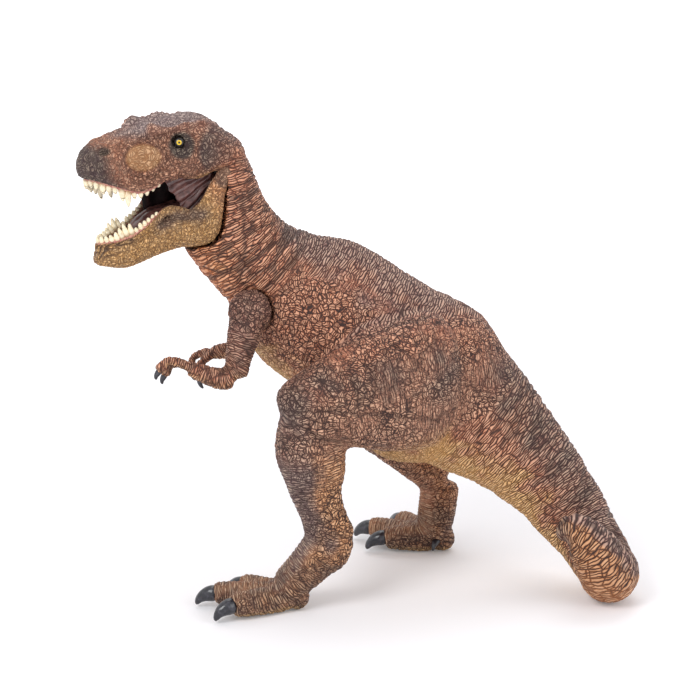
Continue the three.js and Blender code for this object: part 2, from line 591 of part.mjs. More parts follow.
function makeLeg(shares, stride, hand, footYaw) {
  const thigh = legRows(shares.thighShares, stride, hand, THIGH_WIDTH, THIGH_DEPTH);
  const shank = legRows(shares.shankShares, stride, hand, SHANK_WIDTH, SHANK_DEPTH);
  const metatarsus = legRows(shares.metatarsusShares, stride, hand, METATARSUS_WIDTH, METATARSUS_DEPTH);
  const onFloor = ([ahead, aside], up) => point(-ahead * stride, hand * aside * stance / 2, up);
  const from = onFloor(shares.ballShares, 0);
  const toes = toeShares.map(([name, spread, lengthShare]) => {
    const yaw = radians(footYaw + hand * -spread * TOE_SPREAD);
    const heading = point(-Math.cos(yaw), -Math.sin(yaw), 0);
    return { name, ...makeToe(from, heading, lengthShare * TOE_LENGTH) };
  });
  const heel = ball(onFloor(shares.heelShares, HEEL_GIRTH / 2 - SOLE_FLAT), HEEL_GIRTH, SMALL_SIDES + 2);
  const inward = point(0, -hand, 0);
  const hip = thigh[2].at;
  const pegRoot = hip.clone().addScaledVector(inward, -LEG_PEG_ROOT);
  const peg = (grow = 0) => bar(pegRoot, hip.clone().addScaledVector(inward, LEG_PEG_LENGTH + grow),
    LEG_PEG_DIAMETER + 2 * grow, LIMB_SIDES);
  const dewHeading = inward.clone().addScaledVector(ALONG, -1 / 2).normalize();
  const dewRoot = onFloor(shares.heelShares, HEEL_GIRTH / 2)
    .addScaledVector(dewHeading, dewclawRootShare * HEEL_GIRTH / 2);
  const dewclaw = (grow = 0) =>
    makeClaw(dewRoot, dewHeading, DEWCLAW_LENGTH, DEWCLAW_GIRTH, dewclawDropShare, grow);
  const flesh = joined(
    form(thigh, { around: TRUNK_SIDES - 4, rings: 16, capShares: [0.16, 0.14] }),
    form(shank, { around: LIMB_SIDES, rings: 16, capShares: [0.1, 0.1] }),
    form(metatarsus, { around: LIMB_SIDES, rings: 10, capShares: [0.12, 0.14] }),
    heel, ...toes.map((t) => t.toe));
  return { flesh, toes, peg, dewclaw };
}

// Arm rows, from the shoulder: ahead, aside and below as shares of the upper arm, then girth
const upperArmShares = [
  [0, 0.22, -0.02, 1.1],
  [0.1, 0.4, 0.36, 0.92],
  [0.18, 0.52, 0.7, 0.72],
  [0.22, 0.6, 1, 0.68],
];
const forearmShares = [
  [0, 0, 0, 0.62],
  [0.36, 0.08, 0.02, 0.62],
  [0.7, 0.14, 0.16, 0.5],
  [1, 0.17, 0.3, 0.42],
];
const elbowShare = 0.97;
const fingerShares = [
  ["outer", [[-0.1, 0, 0, 1.2], [0.4, 0.04, 0.22, 1], [0.8, 0.04, 0.2, 0.9], [1, 0.02, -0.12, 0.72]]],
  ["inner", [[-0.1, -0.1, -0.05, 1.2], [0.35, -0.5, -0.02, 1], [0.7, -0.62, -0.15, 0.9],
    [0.85, -0.62, -0.45, 0.72]]],
];
// Finger claw rows: ahead, back and girth. Shoulder dome rows: outward and girth.
const fingerClawShares = [[-0.1, 0, 0.84], [0.25, 0, 1], [0.65, 0, 0.68], [1, 0.2, 0.16]];
const domeShares = [[-1, 1], [0, 1], [1, 1], [1.9, 0.9]];
const armPegRootShare = 0.25;
// The shoulder lies low on the chest: back along the line from its middle to its front edge
const shoulderShares = [0.825, 0.39];
const shoulderAsideShare = 0.56;
const shoulderAside = shoulderAsideShare * TORSO_WIDTH / 2;

function makeArm(hand, swing, elbowDrop) {
  const shoulder = point(-shoulderShares[0] * TORSO_REACH, hand * shoulderAside,
    HIP_HEIGHT + shoulderShares[1] * TORSO_RISE);
  const moved = (base, [ahead, aside, up], length, degrees) => base.clone().add(
    point(-ahead * length, hand * aside * length, up * length).applyAxisAngle(SIDE, -radians(degrees)));
  const reach = (base, [ahead, aside, down], length) => moved(base, [ahead, aside, -down], length, swing);
  const rise = (base, row, length) => moved(base, row, length, swing + elbowDrop);
  const girth = ARM_GIRTH / 2;
  const upper = upperArmShares.map((row) =>
    station(reach(shoulder, row, UPPER_ARM_LENGTH), row[3] * girth));
  const elbow = reach(shoulder, upperArmShares[3], elbowShare * UPPER_ARM_LENGTH);
  const lower = forearmShares.map((row) => station(rise(elbow, row, FOREARM_LENGTH), row[3] * girth));
  const wrist = rise(elbow, forearmShares[3], FOREARM_LENGTH);
  const fingers = fingerShares.map(([name, rows]) => {
    const stations = rows.map((row) =>
      station(rise(wrist, row, FINGER_LENGTH), row[3] * FINGER_GIRTH / 2));
    const tip = stations[3].at;
    const heading = tip.clone().sub(stations[2].at).normalize();
    const clawStations = fingerClawShares.map(([ahead, back, swell]) => station(
      tip.clone().addScaledVector(heading, ahead * FINGER_CLAW_LENGTH)
        .addScaledVector(ALONG, back * FINGER_CLAW_LENGTH),
      swell * FINGER_CLAW_GIRTH / 2));
    const claw = (grow = 0) =>
      form(clawStations, { around: TOOTH_SIDES, rings: 7, capShares: [0.12, 0.08], grow });
    const flesh = form(stations, { around: SMALL_SIDES - 2, rings: 9, capShares: [0.12, 0.14] });
    return { name, flesh, claw };
  });
  const outward = point(0, hand, 0);
  const out = (distance) => shoulder.clone().addScaledVector(outward, distance);
  const disc = bar(shoulder, out(SHOULDER_DISC_DEPTH), SHOULDER_DIAMETER, TRUNK_SIDES);
  const dome = form(
    domeShares.map(([away, swell]) =>
      station(out(away * SHOULDER_DISC_DEPTH), swell * SHOULDER_DIAMETER / 2)),
    { around: TRUNK_SIDES - 4, rings: 9, capShares: [0.1, 0.5], side: ALONG });
  const peg = (grow = 0) => bar(out(armPegRootShare * SHOULDER_DISC_DEPTH), out(-ARM_PEG_LENGTH - grow),
    ARM_PEG_DIAMETER + 2 * grow, LIMB_SIDES);
  const limb = joined(disc, dome,
    form(upper, { around: LIMB_SIDES, rings: 9, capShares: [0.2, 0.14] }),
    form(lower, { around: SMALL_SIDES + 2, rings: 9, capShares: [0.12, 0.12] }),
    ...fingers.map((f) => f.flesh));
  const bare = limb.subtract(beyond(shoulder, outward.clone().negate())).add(peg());
  const flesh = fingers.reduce((left, f) => left.subtract(f.claw(GLUE_GAP)), bare);
  const recess = bar(out(-ARM_CLEARANCE), out(OVERRUN), SHOULDER_DIAMETER + 2 * ARM_CLEARANCE, TRUNK_SIDES)
    .add(peg(ARM_CLEARANCE));
  return { flesh, fingers, recess, shoulder };
}

// The trunk is cut across the root of the tail, where the tail's peg enters the hollow torso.
const tailCutShare = 0.6;
const tailCutAt = tailStations[0].at.clone().lerp(tailStations[1].at, tailCutShare);
const tailLine = tailStations[1].at.clone().sub(tailStations[0].at).normalize();
const alongTail = (distance) => tailCutAt.clone().addScaledVector(tailLine, distance);
const tailPeg = (grow = 0) =>
  bar(alongTail(-TAIL_PEG_LENGTH), alongTail(WALL), TAIL_PEG_DIAMETER + 2 * grow, LIMB_SIDES);

const hollow = form([...torsoStations.slice(5), tailStations[0]].map((s) =>
  station(s.at, s.wide - WALL, s.deep - WALL)), { around: LIMB_SIDES, rings: 12, capShares: [0.12, 0.12] });

const arms = {
  left: makeArm(-1, LEFT_ARM_ANGLE, LEFT_ELBOW_ANGLE),
  right: makeArm(1, RIGHT_ARM_ANGLE, RIGHT_ELBOW_ANGLE),
};
const legs = {
  left: makeLeg(leftLegShares, LEFT_STRIDE, -1, LEFT_FOOT_YAW),
  right: makeLeg(rightLegShares, RIGHT_STRIDE, 1, RIGHT_FOOT_YAW),
};

function makeTorso() {
  const headCuts = [skullForm(GLUE_GAP), ...sweptJaw, throatForm(GLUE_GAP), mouthRoom, pinBar(GLUE_GAP)]
    .map((cut) => placed(cut, headFrame));
  const cuts = [hollow, beyond(tailCutAt, tailLine), tailPeg(GLUE_GAP), neckPlug(GLUE_GAP),
    ...headCuts,
    ...Object.values(arms).map((arm) => arm.recess),
    ...Object.values(legs).map((leg) => leg.peg(GLUE_GAP))];
  return cuts.reduce((left, cut) => left.subtract(cut), trunkForm(0, foldDent));
}

function makeTail() {
  const cutAt = alongTail(GLUE_GAP);
  const flesh = joined(trunkForm(0, foldDent), curlForm()).subtract(beyond(cutAt, tailLine.clone().negate()));
  return flesh.subtract(belowFloor).add(tailPeg());
}

function makeLegFlesh({ flesh, toes, peg, dewclaw }) {
  const cuts = [trunkForm(GLUE_GAP), belowFloor, dewclaw(GLUE_GAP),
    ...toes.map((toe) => toe.claw(GLUE_GAP))];
  return cuts.reduce((left, cut) => left.subtract(cut), flesh).add(peg());
}

const paint = (color, roughness, metalness = 0) =>
  new THREE.MeshStandardMaterial({ color, roughness, metalness });
const materials = {
  skin: paint(0x8a6a56, 0.6),
  claw: paint(0x232129, 0.35),
  tooth: paint(0xe6d3b0, 0.4),
  mouth: paint(0x5a3638, 0.5),
  eye: paint(0xd8c21e, 0.2),
  steel: paint(0x9a9a9a, 0.3, 1),
};

function mesh(name, made, material, frame = null) {
  const node = new THREE.Mesh(geometryOf(frame ? placed(made, frame) : made), materials[material]);
  node.name = name;
  return node;
}

const figure = new THREE.Group();
const head = new THREE.Group();
head.position.copy(hingeAt);
head.rotation.z = Math.PI + radians(HEAD_YAW);
const jaw = new THREE.Group();
jaw.rotation.y = radians(JAW_GAPE);
head.add(jaw);

figure.add(mesh("torso", makeTorso(), "skin"));
figure.add(mesh("tail", makeTail(), "skin"));
for (const [side, leg] of Object.entries(legs)) {
  figure.add(mesh(side + "_leg", makeLegFlesh(leg), "skin"));
  for (const toe of leg.toes)
    figure.add(mesh(side + "_" + toe.name + "_toe_claw", toe.claw().subtract(belowFloor), "claw"));
  figure.add(mesh(side + "_dewclaw", leg.dewclaw(), "claw"));
}
for (const [side, arm] of Object.entries(arms)) {
  figure.add(mesh(side + "_arm", arm.flesh, "skin"));
  for (const finger of arm.fingers)
    figure.add(mesh(side + "_" + finger.name + "_finger_claw", finger.claw(), "claw"));
}
head.add(mesh("head", makeSkull(), "skin"));
head.add(mesh("throat", makeThroat(), "mouth"));
head.add(mesh("upper_teeth", upperTeeth(), "tooth"));
head.add(mesh("jaw_pin", pinBar(), "steel"));
head.add(mesh("left_eye", ball(eyeAt(1), EYE_DIAMETER, LIMB_SIDES), "eye"));
head.add(mesh("right_eye", ball(eyeAt(-1), EYE_DIAMETER, LIMB_SIDES), "eye"));
jaw.add(mesh("lower_jaw", makeJaw(), "skin"));
jaw.add(mesh("lower_teeth", lowerTeeth(), "tooth"));
jaw.add(mesh("tongue", tongueForm(), "mouth"));
figure.add(head);

// The origin goes under the middle of the figure, on the floor.
const box = new THREE.Box3().setFromObject(figure, true);
const middle = box.getCenter(point(0, 0, 0));
figure.position.set(-middle.x, -middle.y, 0);

export default figure;
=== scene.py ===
# %% [markdown]
# # A toy dinosaur with a carved and painted skin
# The real figure is cast in plastic from a master that was carved by hand, and then painted in thin layers.
# Its solids come from the frame, with their sizes and joints. This lesson melts copies of them into an even
# skin, carves folds and wrinkles into it, paints it by zones, and gives it new teeth, claws, eyes and a
# tongue.

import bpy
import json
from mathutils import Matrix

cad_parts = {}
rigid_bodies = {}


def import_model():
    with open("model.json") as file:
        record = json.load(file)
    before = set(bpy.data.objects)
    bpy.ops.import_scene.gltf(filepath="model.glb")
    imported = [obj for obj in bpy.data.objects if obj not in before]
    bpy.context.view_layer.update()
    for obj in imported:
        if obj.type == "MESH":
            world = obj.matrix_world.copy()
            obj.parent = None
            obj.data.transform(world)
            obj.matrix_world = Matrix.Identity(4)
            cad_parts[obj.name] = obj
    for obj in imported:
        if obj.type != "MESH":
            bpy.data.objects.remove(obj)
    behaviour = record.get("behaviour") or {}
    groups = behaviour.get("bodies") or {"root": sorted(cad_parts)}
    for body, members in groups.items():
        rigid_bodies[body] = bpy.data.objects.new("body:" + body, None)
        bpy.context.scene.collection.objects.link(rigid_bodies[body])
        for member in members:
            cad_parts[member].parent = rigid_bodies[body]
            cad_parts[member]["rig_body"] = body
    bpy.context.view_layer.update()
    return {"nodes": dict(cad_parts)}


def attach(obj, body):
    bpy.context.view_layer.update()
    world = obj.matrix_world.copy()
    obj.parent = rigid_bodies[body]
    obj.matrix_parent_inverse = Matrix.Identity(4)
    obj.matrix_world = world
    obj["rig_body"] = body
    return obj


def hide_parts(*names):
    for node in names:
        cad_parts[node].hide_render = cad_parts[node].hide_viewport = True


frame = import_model()

# %% Tools and units
import itertools
import json
import math

import bmesh
import bpy
import numpy as np
from mathutils import Matrix, Vector

MM = 0.001
FAR = 1e9
UP, DOWN = (0, 0, 1), (0, 0, -1)


def soft(value, low, high):
    """0 below low, 1 above high, and a smooth step between them."""
    t = np.clip((value - low) / (high - low), 0, 1)
    return t * t * (3 - 2 * t)


def bell(value, width):
    """1 where the value is 0, fading out over about a width to either side."""
    return np.exp(-((value / width) ** 2))


def paint(red, green, blue):
    """A paint pot's colour, from the 0 to 255 of a colour chart to the light that the renderer adds up."""
    share = np.array([red, green, blue]) / 255
    return np.where(share < 0.04045, share / 12.92, ((share + 0.055) / 1.055) ** 2.4)


# %% [markdown]
# ## Where the animal's lines run
# Wrinkles on a limb run across it, so each limb needs its own measure: how far along, and how far round. A
# line of points through the middle of each limb, with its girth there, gives that. The head has a frame of
# its own, because it is turned towards the viewer: x runs to the snout, y to the animal's left and z up,
# from the jaw's hinge.

# %% Limb lines, in millimetres: x, y, z and half the girth
SPINE = [
    (-53, -9, 162, 12), (-52, -9, 150, 13), (-48, -7, 133, 15.5), (-40, -5, 121, 17), (-31, -3, 113, 20),
    (-22, -3, 105, 24), (-8, -3, 96, 26), (7, -3, 84, 28), (22, -3, 74, 28), (37, -3, 64, 23),
    (52, -4, 52, 18.5), (65, -6, 40, 15.5), (75, -10, 27, 13), (83, -17, 17, 11.7), (87, -25, 11, 11),
    (86, -32, 13, 10.5), (81, -37, 22, 9), (76, -36, 29, 7), (72, -35, 30, 5), (69, -34, 24, 3),
]
LEFT_LEG = [
    (33, -15, 80, 18), (20, -23, 80, 20), (5, -30, 79, 19), (-9, -35, 76, 16.5), (-20, -38, 71, 13.5),
    (-19, -39, 60, 11.8), (-17, -38, 52, 10.7), (-16.5, -38, 45, 9), (-14, -37, 36, 7.5),
    (-11.5, -36, 26, 7.5), (-15, -36, 21, 7.5), (-21, -36, 14, 7), (-26, -36, 8, 6.5),
    (-34, -36, 5, 5.5), (-56, -36, 4.5, 5),
]
RIGHT_LEG = [
    (33, 9, 80, 17), (21, 17, 77, 18), (9, 23, 71, 17), (0, 27, 64, 14), (-5, 29, 58, 11.5),
    (2, 29, 52, 10.5), (10, 29, 45, 9.5), (19, 28, 37, 8), (27, 28, 30, 7.5), (29, 28, 22, 7.5),
    (28, 27, 14, 7.2), (26, 27, 7, 6.5), (20, 29, 5, 5.5), (1, 37, 4.5, 5),
]
LEFT_ARM = [(-39, -22, 104, 8), (-41, -25, 97, 6.5), (-43, -27, 90, 5), (-45, -28, 84, 4.6),
            (-52, -30, 84, 4), (-58, -31, 87, 3.3), (-63, -32, 89, 2.6), (-70, -33, 90, 2)]
RIGHT_ARM = [(-39, 17, 104, 8), (-42, 20, 97, 6.5), (-46, 22, 90, 5), (-49, 23, 84, 4.6), (-55, 24, 80, 4),
             (-59, 25, 77, 3), (-64, 26, 72, 2)]

HEAD_TURN = math.radians(27)
HINGE = np.array([-54.38, -8.84, 153.3])
AHEAD = np.array([-math.cos(HEAD_TURN), -math.sin(HEAD_TURN), 0])
ASIDE = np.array([math.sin(HEAD_TURN), -math.cos(HEAD_TURN), 0])
JAW_GAPE = math.radians(25)


def in_head(points):
    """The points in the head's own frame."""
    away = points - HINGE
    return np.stack([away @ AHEAD, away @ ASIDE, away[:, 2]], axis=1)


def in_jaw(points):
    """The points in the frame of the opened jaw: x runs along the jaw."""
    x, y, z = in_head(points).T
    c, s = math.cos(JAW_GAPE), math.sin(JAW_GAPE)
    return np.stack([c * x - s * z, y, s * x + c * z], axis=1)


OVERSHOOT = 40  # how strongly a stretch of the line gives up corners beyond its ends


def along(points, line):
    """For each point: how many half girths off the line, how far along it, and two sideways offsets."""
    rows = np.array(line, float)
    at, girth = rows[:, :3], rows[:, 3]
    steps = np.diff(at, axis=0)
    lengths = np.linalg.norm(steps, axis=1)
    run = np.concatenate([[0], np.cumsum(lengths)])
    tangents = np.gradient(at, run, axis=0)
    tangents /= np.linalg.norm(tangents, axis=1)[:, None]
    sides = [np.array([0.0, 1.0, 0.0])]
    for tangent in tangents:
        side = sides[-1] - sides[-1] @ tangent * tangent
        sides.append(side / np.linalg.norm(side))
    sides = np.array(sides[1:])
    best = np.full(len(points), FAR)
    near, place = best.copy(), np.zeros((len(points), 3))
    last = len(steps) - 1
    for k, step in enumerate(steps):
        before = (points - at[k]) @ tangents[k]
        whole = before + (at[k + 1] - points) @ tangents[k + 1]
        level = np.abs(whole) <= 1e-6
        t = np.where(level, 0.5, before / np.where(level, 1, whole))
        low, high = (-2 if k == 0 else 0), (3 if k == last else 1)
        outside = np.maximum(np.maximum(low - t, t - high), 0)
        t = np.clip(t, low, high)
        held = np.clip(t, 0, 1)[:, None]
        offset = points - at[k] - held * step
        side = sides[k] + held * (sides[k + 1] - sides[k])
        over = np.cross(tangents[k] + held * (tangents[k + 1] - tangents[k]), side)
        apart = np.linalg.norm(offset, axis=1)
        score = apart + OVERSHOOT * outside
        closer = score < best
        best = np.where(closer, score, best)
        wide = girth[k] + held[:, 0] * (girth[k + 1] - girth[k])
        near = np.where(closer, apart / wide, near)
        here = np.stack([run[k] + t * lengths[k], (offset * side).sum(1), (offset * over).sum(1)], axis=1)
        place = np.where(closer[:, None], here, place)
    return near, place


# %% [markdown]
# ## Noise that comes out the same each run
# Skin has no straight rows, so its wrinkles need some chance in them, and the mesh code needs that chance
# as plain numbers. Two kinds are enough: a soft drift that bends things, and a cracked pattern of cells
# whose borders are the creases. Both hash whole numbers, so each run carves the same animal.


# %% Drift and creases
def hashed(cells, salt):
    """A repeatable number from 0 to 1 for each row of three whole numbers."""
    n = cells[:, 0] * 374761393 + cells[:, 1] * 668265263 + cells[:, 2] * 1274126177 + salt * 974634777
    n = n & 0xFFFFFFFF
    n = ((n ^ (n >> 13)) * 1274126177) & 0xFFFFFFFF
    return (n ^ (n >> 16)) / 2**32


def drift(points, pitch, salt):
    """Soft noise from -1 to 1, a swell every pitch."""
    low = np.floor(points / pitch).astype(np.int64)
    part = points / pitch - low
    part = part * part * (3 - 2 * part)
    total = np.zeros(len(points))
    for corner in itertools.product((0, 1), repeat=3):
        weight = np.prod(np.where(corner, part, 1 - part), axis=1)
        total += weight * hashed(low + corner, salt)
    return 2 * total - 1


def wander(points, pitch, reach, salt):
    """The points moved about by three drifts."""
    return points + reach * np.stack([drift(points, pitch, salt + k) for k in range(3)], axis=1)


def cracks(points, salt):
    """Random cells one unit wide: 0 on the border between two cells, and about a half well inside one."""
    base = np.floor(points).astype(np.int64)
    first = np.full(len(points), 9.0)
    second = first.copy()
    for step in itertools.product((-1, 0, 1), repeat=3):
        cell = base + step
        seed = cell + np.stack([hashed(cell, salt + k) for k in range(3)], axis=1)
        apart = np.linalg.norm(points - seed, axis=1)
        second = np.minimum(second, np.maximum(first, apart))
        first = np.minimum(first, apart)
    return second - first


def stroke(points, path):
    """Distance from a path of points, in millimetres."""
    rows = np.array(path, float)
    near = np.full(len(points), FAR)
    for a, b in zip(rows[:-1], rows[1:]):
        t = np.clip((points - a) @ (b - a) / ((b - a) @ (b - a)), 0, 1)
        near = np.minimum(near, np.linalg.norm(points - a - t[:, None] * (b - a), axis=1))
    return near


# %% [markdown]
# ## Tubes
# Lips, gums and teeth are all tubes of changing girth. Each starts as a circle, and its end face is
# extruded again and again, moved and resized each time, which is how a modeller would pull it by hand.

# %% Points of the head, and smooth lines
def head_point(x, y, z, turn=0.0):
    """A point of the head's frame, turned down about the hinge, in the figure's millimetres."""
    c, s = math.cos(turn), math.sin(turn)
    x, z = c * x + s * z, c * z - s * x
    return Vector(HINGE + x * AHEAD + y * ASIDE + z * np.array([0, 0, 1]))


def rail(points, count):
    """Evenly spaced points on a smooth line through the points."""
    curve = bpy.data.curves.new("rail", "CURVE")
    curve.dimensions = "3D"
    spline = curve.splines.new("BEZIER")
    spline.bezier_points.add(len(points) - 1)
    for bezier, at in zip(spline.bezier_points, points):
        bezier.co = at
        bezier.handle_left_type = bezier.handle_right_type = "AUTO"
    curve.resolution_u = 24
    holder = bpy.data.objects.new("rail", curve)
    fine = np.array([v.co for v in holder.to_mesh().vertices])
    bpy.data.objects.remove(holder)
    run = np.concatenate([[0], np.cumsum(np.linalg.norm(np.diff(fine, axis=0), axis=1))])
    wanted = np.linspace(0, run[-1], count)
    return np.stack([np.interp(wanted, run, fine[:, k]) for k in range(3)], axis=1)


# %% Grow a tube by extruding its end face
def grow(bm, path, girths, segments, flat=1.0):
    """A closed tube along a path in millimetres, extruded ring by ring. Gives the rings' corners."""
    path = [Vector(p) for p in path]
    ways = [(path[min(k + 1, len(path) - 1)] - path[max(k - 1, 0)]).normalized() for k in range(len(path))]
    turn = ways[0].to_track_quat("Z", "Y")
    places = []
    for k, (at, way) in enumerate(zip(path, ways)):
        turn = ways[max(k - 1, 0)].rotation_difference(way) @ turn
        stretch = Matrix.Diagonal((girths[k] * flat * MM, girths[k] * MM, MM, 1))
        places.append(Matrix.Translation(at * MM) @ turn.to_matrix().to_4x4() @ stretch)
    made = bmesh.ops.create_circle(bm, cap_ends=True, segments=segments, radius=1, matrix=places[0])
    rings = [made["verts"]]
    face = made["verts"][0].link_faces[0]
    for before, after in zip(places[:-1], places[1:]):
        made = bmesh.ops.extrude_face_region(bm, geom=[face])
        face = next(g for g in made["geom"] if isinstance(g, bmesh.types.BMFace))
        bmesh.ops.transform(bm, matrix=after @ before.inverted(), verts=face.verts[:])
        rings.append(face.verts[:])
    return rings


# %% [markdown]
# ## From faceted solids to an even skin
# The solids are faceted and meet in glue lines, but the real skin runs over those joints without a seam. A
# voxel remesh melts copies of them into one surface of small even squares, which takes carving well. The
# copies are swollen a little first, so that the glue lines close, then smoothed and shrunk back. Only the
# outer skin is kept.

# %% Melt copies of solids
SWELL = 0.25 * MM
COARSE = 0.7 * MM


def merged_copy(*nodes):
    """One bmesh of these solids, with the doubled corners of each merged."""
    bm = bmesh.new()
    for node in nodes:
        bm.from_mesh(frame["nodes"][node].data)
    bmesh.ops.remove_doubles(bm, verts=bm.verts, dist=0.005 * MM)
    return bm


def swell(bm, distance):
    bm.normal_update()
    for vert in bm.verts:
        vert.co += vert.normal * distance


def soften(bm, passes):
    for _ in range(passes):
        bmesh.ops.smooth_vert(bm, verts=bm.verts, factor=0.5,
                              use_axis_x=True, use_axis_y=True, use_axis_z=True)


def object_of(bm, name):
    """The bmesh as an object at the origin, and the bmesh is freed."""
    mesh = bpy.data.meshes.new(name)
    bm.to_mesh(mesh)
    bm.free()
    mesh.shade_smooth()
    piece = bpy.data.objects.new(name, mesh)
    bpy.context.scene.collection.objects.link(piece)
    return piece


def remeshed(bm, voxel):
    """The bmesh's shape as even squares, made by a Remesh modifier."""
    piece = object_of(bm, "melting")
    melt = piece.modifiers.new("Melt", "REMESH")
    melt.mode = "VOXEL"
    melt.voxel_size = voxel
    made = piece.evaluated_get(bpy.context.evaluated_depsgraph_get()).to_mesh()
    fresh = bmesh.new()
    fresh.from_mesh(made)
    bpy.data.objects.remove(piece)
    return fresh


def keep_largest(bm):
    """Deletes all but the largest island."""
    bm.verts.ensure_lookup_table()
    island, count = {}, 0
    for seed in bm.verts:
        if seed in island:
            continue
        front = [seed]
        island[seed] = count
        while front:
            for edge in front.pop().link_edges:
                for vert in edge.verts:
                    if vert not in island:
                        island[vert] = count
                        front.append(vert)
        count += 1
    sizes = np.bincount(list(island.values()))
    keep = int(sizes.argmax())
    bmesh.ops.delete(bm, geom=[v for v in bm.verts if island[v] != keep], context="VERTS")
    return sizes


def cut_off(bm, at, normal, dist=0.0):
    """Takes away what lies in front of a plane through a point in millimetres, and closes the cut."""
    made = bmesh.ops.bisect_plane(bm, geom=bm.verts[:] + bm.edges[:] + bm.faces[:], dist=dist,
                                  plane_co=Vector(at) * MM, plane_no=Vector(normal), clear_outer=True)
    rim = [g for g in made["geom_cut"] if isinstance(g, bmesh.types.BMEdge)]
    bmesh.ops.holes_fill(bm, edges=rim, sides=0)


def melted(bm, name, voxel, coarse, passes):
    """The solids as one soft even mesh: melted coarsely and softened, then melted again to small squares."""
    swell(bm, SWELL)
    bm = remeshed(bm, coarse)
    sizes = keep_largest(bm)
    soften(bm, passes)
    bm = remeshed(bm, voxel)
    soften(bm, 2)
    swell(bm, -SWELL)
    print("melted", name, "islands", sizes.tolist(), "corners", len(bm.verts))
    return object_of(bm, name)


# %% [markdown]
# ## Lips
# The solids have the gum cut out of a thin wall, which melting would eat away. On the real figure that wall
# is a rounded lip, so a tube of the lip's girth is laid along each gum before melting. Behind the lower
# teeth it swells.

# %% Gums and lips: ahead, aside and up in the head's or the jaw's frame, and half the lip's girth
UPPER_LIP = [(16, 11.9, 0.3, 1.5), (20.5, 11.1, 0, 1.5), (24.4, 10.7, -1.5, 1.5), (26.9, 10.3, -2.6, 1.5),
             (29.3, 9.9, -3, 1.5), (31.8, 9.4, -2.6, 1.5), (35.5, 8.5, -1.3, 1.6), (39, 7.4, 0, 1.7),
             (42.5, 5.3, 1.2, 1.8), (44.4, 3, 1.6, 1.9), (45.6, 0, 1.8, 1.9)]
UPPER_GUM = [(20.5, 10.3, -1.3), (24.4, 9.9, -2.8), (26.9, 9.5, -3.9), (29.3, 9, -4.3), (31.8, 8.5, -3.9),
             (35.5, 7.6, -2.7), (39, 6.5, -1.5), (42.3, 4.5, -0.4), (44, 2.4, 0), (44.8, 0, 0.1)]
LOWER_GUM = [(24.2, 8.3, -2.4), (27.1, 7.5, -3.4), (30.3, 6.9, -4.5), (33.3, 6.4, -5.2), (36.1, 5.9, -5.4),
             (38.7, 5.2, -5.3), (41.3, 4.5, -4.9), (43.9, 3.2, -4.3), (46, 1.5, -3.9), (46.8, 0, -3.8)]
LOWER_LIP = [(3, 12.2, -1.3, 1.2), (6, 12.4, -2.9, 1.2), (9, 12.2, -5, 1.3), (12, 12, -6.9, 1.4),
             (15, 11.4, -8.4, 1.5), (17, 10.9, -6.8, 1.8), (19.4, 10.2, -4.5, 1.9), (22.5, 9.4, -2.5, 1.7),
             (27.1, 8.2, -4.1, 1.3), (30.3, 7.6, -5.2, 1.3), (33.3, 7.1, -5.9, 1.3), (36.1, 6.6, -6.1, 1.3),
             (38.7, 5.9, -6, 1.3), (41.6, 5.1, -5.6, 1.3), (44.2, 3.9, -5.1, 1.4), (46.6, 2.2, -4.7, 1.5),
             (47.7, 0, -4.6, 1.5)]
LIP_DROP = [(20, 0), (24, 2), (27, 2.4), (33, 2.8), (40, 2.6), (46, 3)]
LIP_RINGS, LIP_SIDES = 61, 12


def horseshoe(half, turn=0.0):
    """One side's points in the figure's millimetres, carried on round the front and along the other side."""
    both = [row[:3] for row in half] + [(x, -y, z) for x, y, z, *_ in half[-2::-1]]
    return [head_point(*at, turn) for at in both]


def lay_lip(bm, half, turn=0.0):
    girths = [row[3] for row in half + half[-2::-1]]
    path = rail(horseshoe(half, turn), LIP_RINGS)
    spread = np.interp(np.linspace(0, 1, LIP_RINGS), np.linspace(0, 1, len(girths)), girths)
    grow(bm, path, spread, LIP_SIDES)


# %% Slim the jaw's rim and square its chin
def reshape_jaw(bm):
    """The edge of the real jaw lies lower in front than the solid's, and its chin is squarer."""
    spots = np.array([vert.co for vert in bm.verts]) / MM
    x, y, z = in_jaw(spots).T
    drop = np.interp(x, *zip(*LIP_DROP)) * soft(z, -12, -4)
    chin = bell(z + 8, 5.5) * soft(x, 34, 44)
    for vert, at in zip(bm.verts, zip(x + 3.4 * chin, y, z - drop)):
        vert.co = head_point(*at, JAW_GAPE) * MM


def with_knuckles(side):
    """The arm's copy with a short tube on each fingertip, which holds the root of the claw."""
    bm = merged_copy(side + "_arm")
    arm = np.array([vert.co for vert in bm.verts]) / MM
    for which in ("inner", "outer"):
        alone = merged_copy(side + "_" + which + "_finger_claw")
        claw = np.array([vert.co for vert in alone.verts]) / MM
        alone.free()
        apart = np.linalg.norm(claw[:, None] - arm[None], axis=2).min(axis=0)
        tip = arm[apart.argsort()[:8]].mean(axis=0)
        way = claw.mean(axis=0) - tip
        way /= np.linalg.norm(way)
        grow(bm, [tuple(tip + run * way) for run in (-1.2, 0, 1.3)], (2.2, 2.5, 2.0), 14)
        print(side, which, "fingertip at", tip.round(1))
    return bm


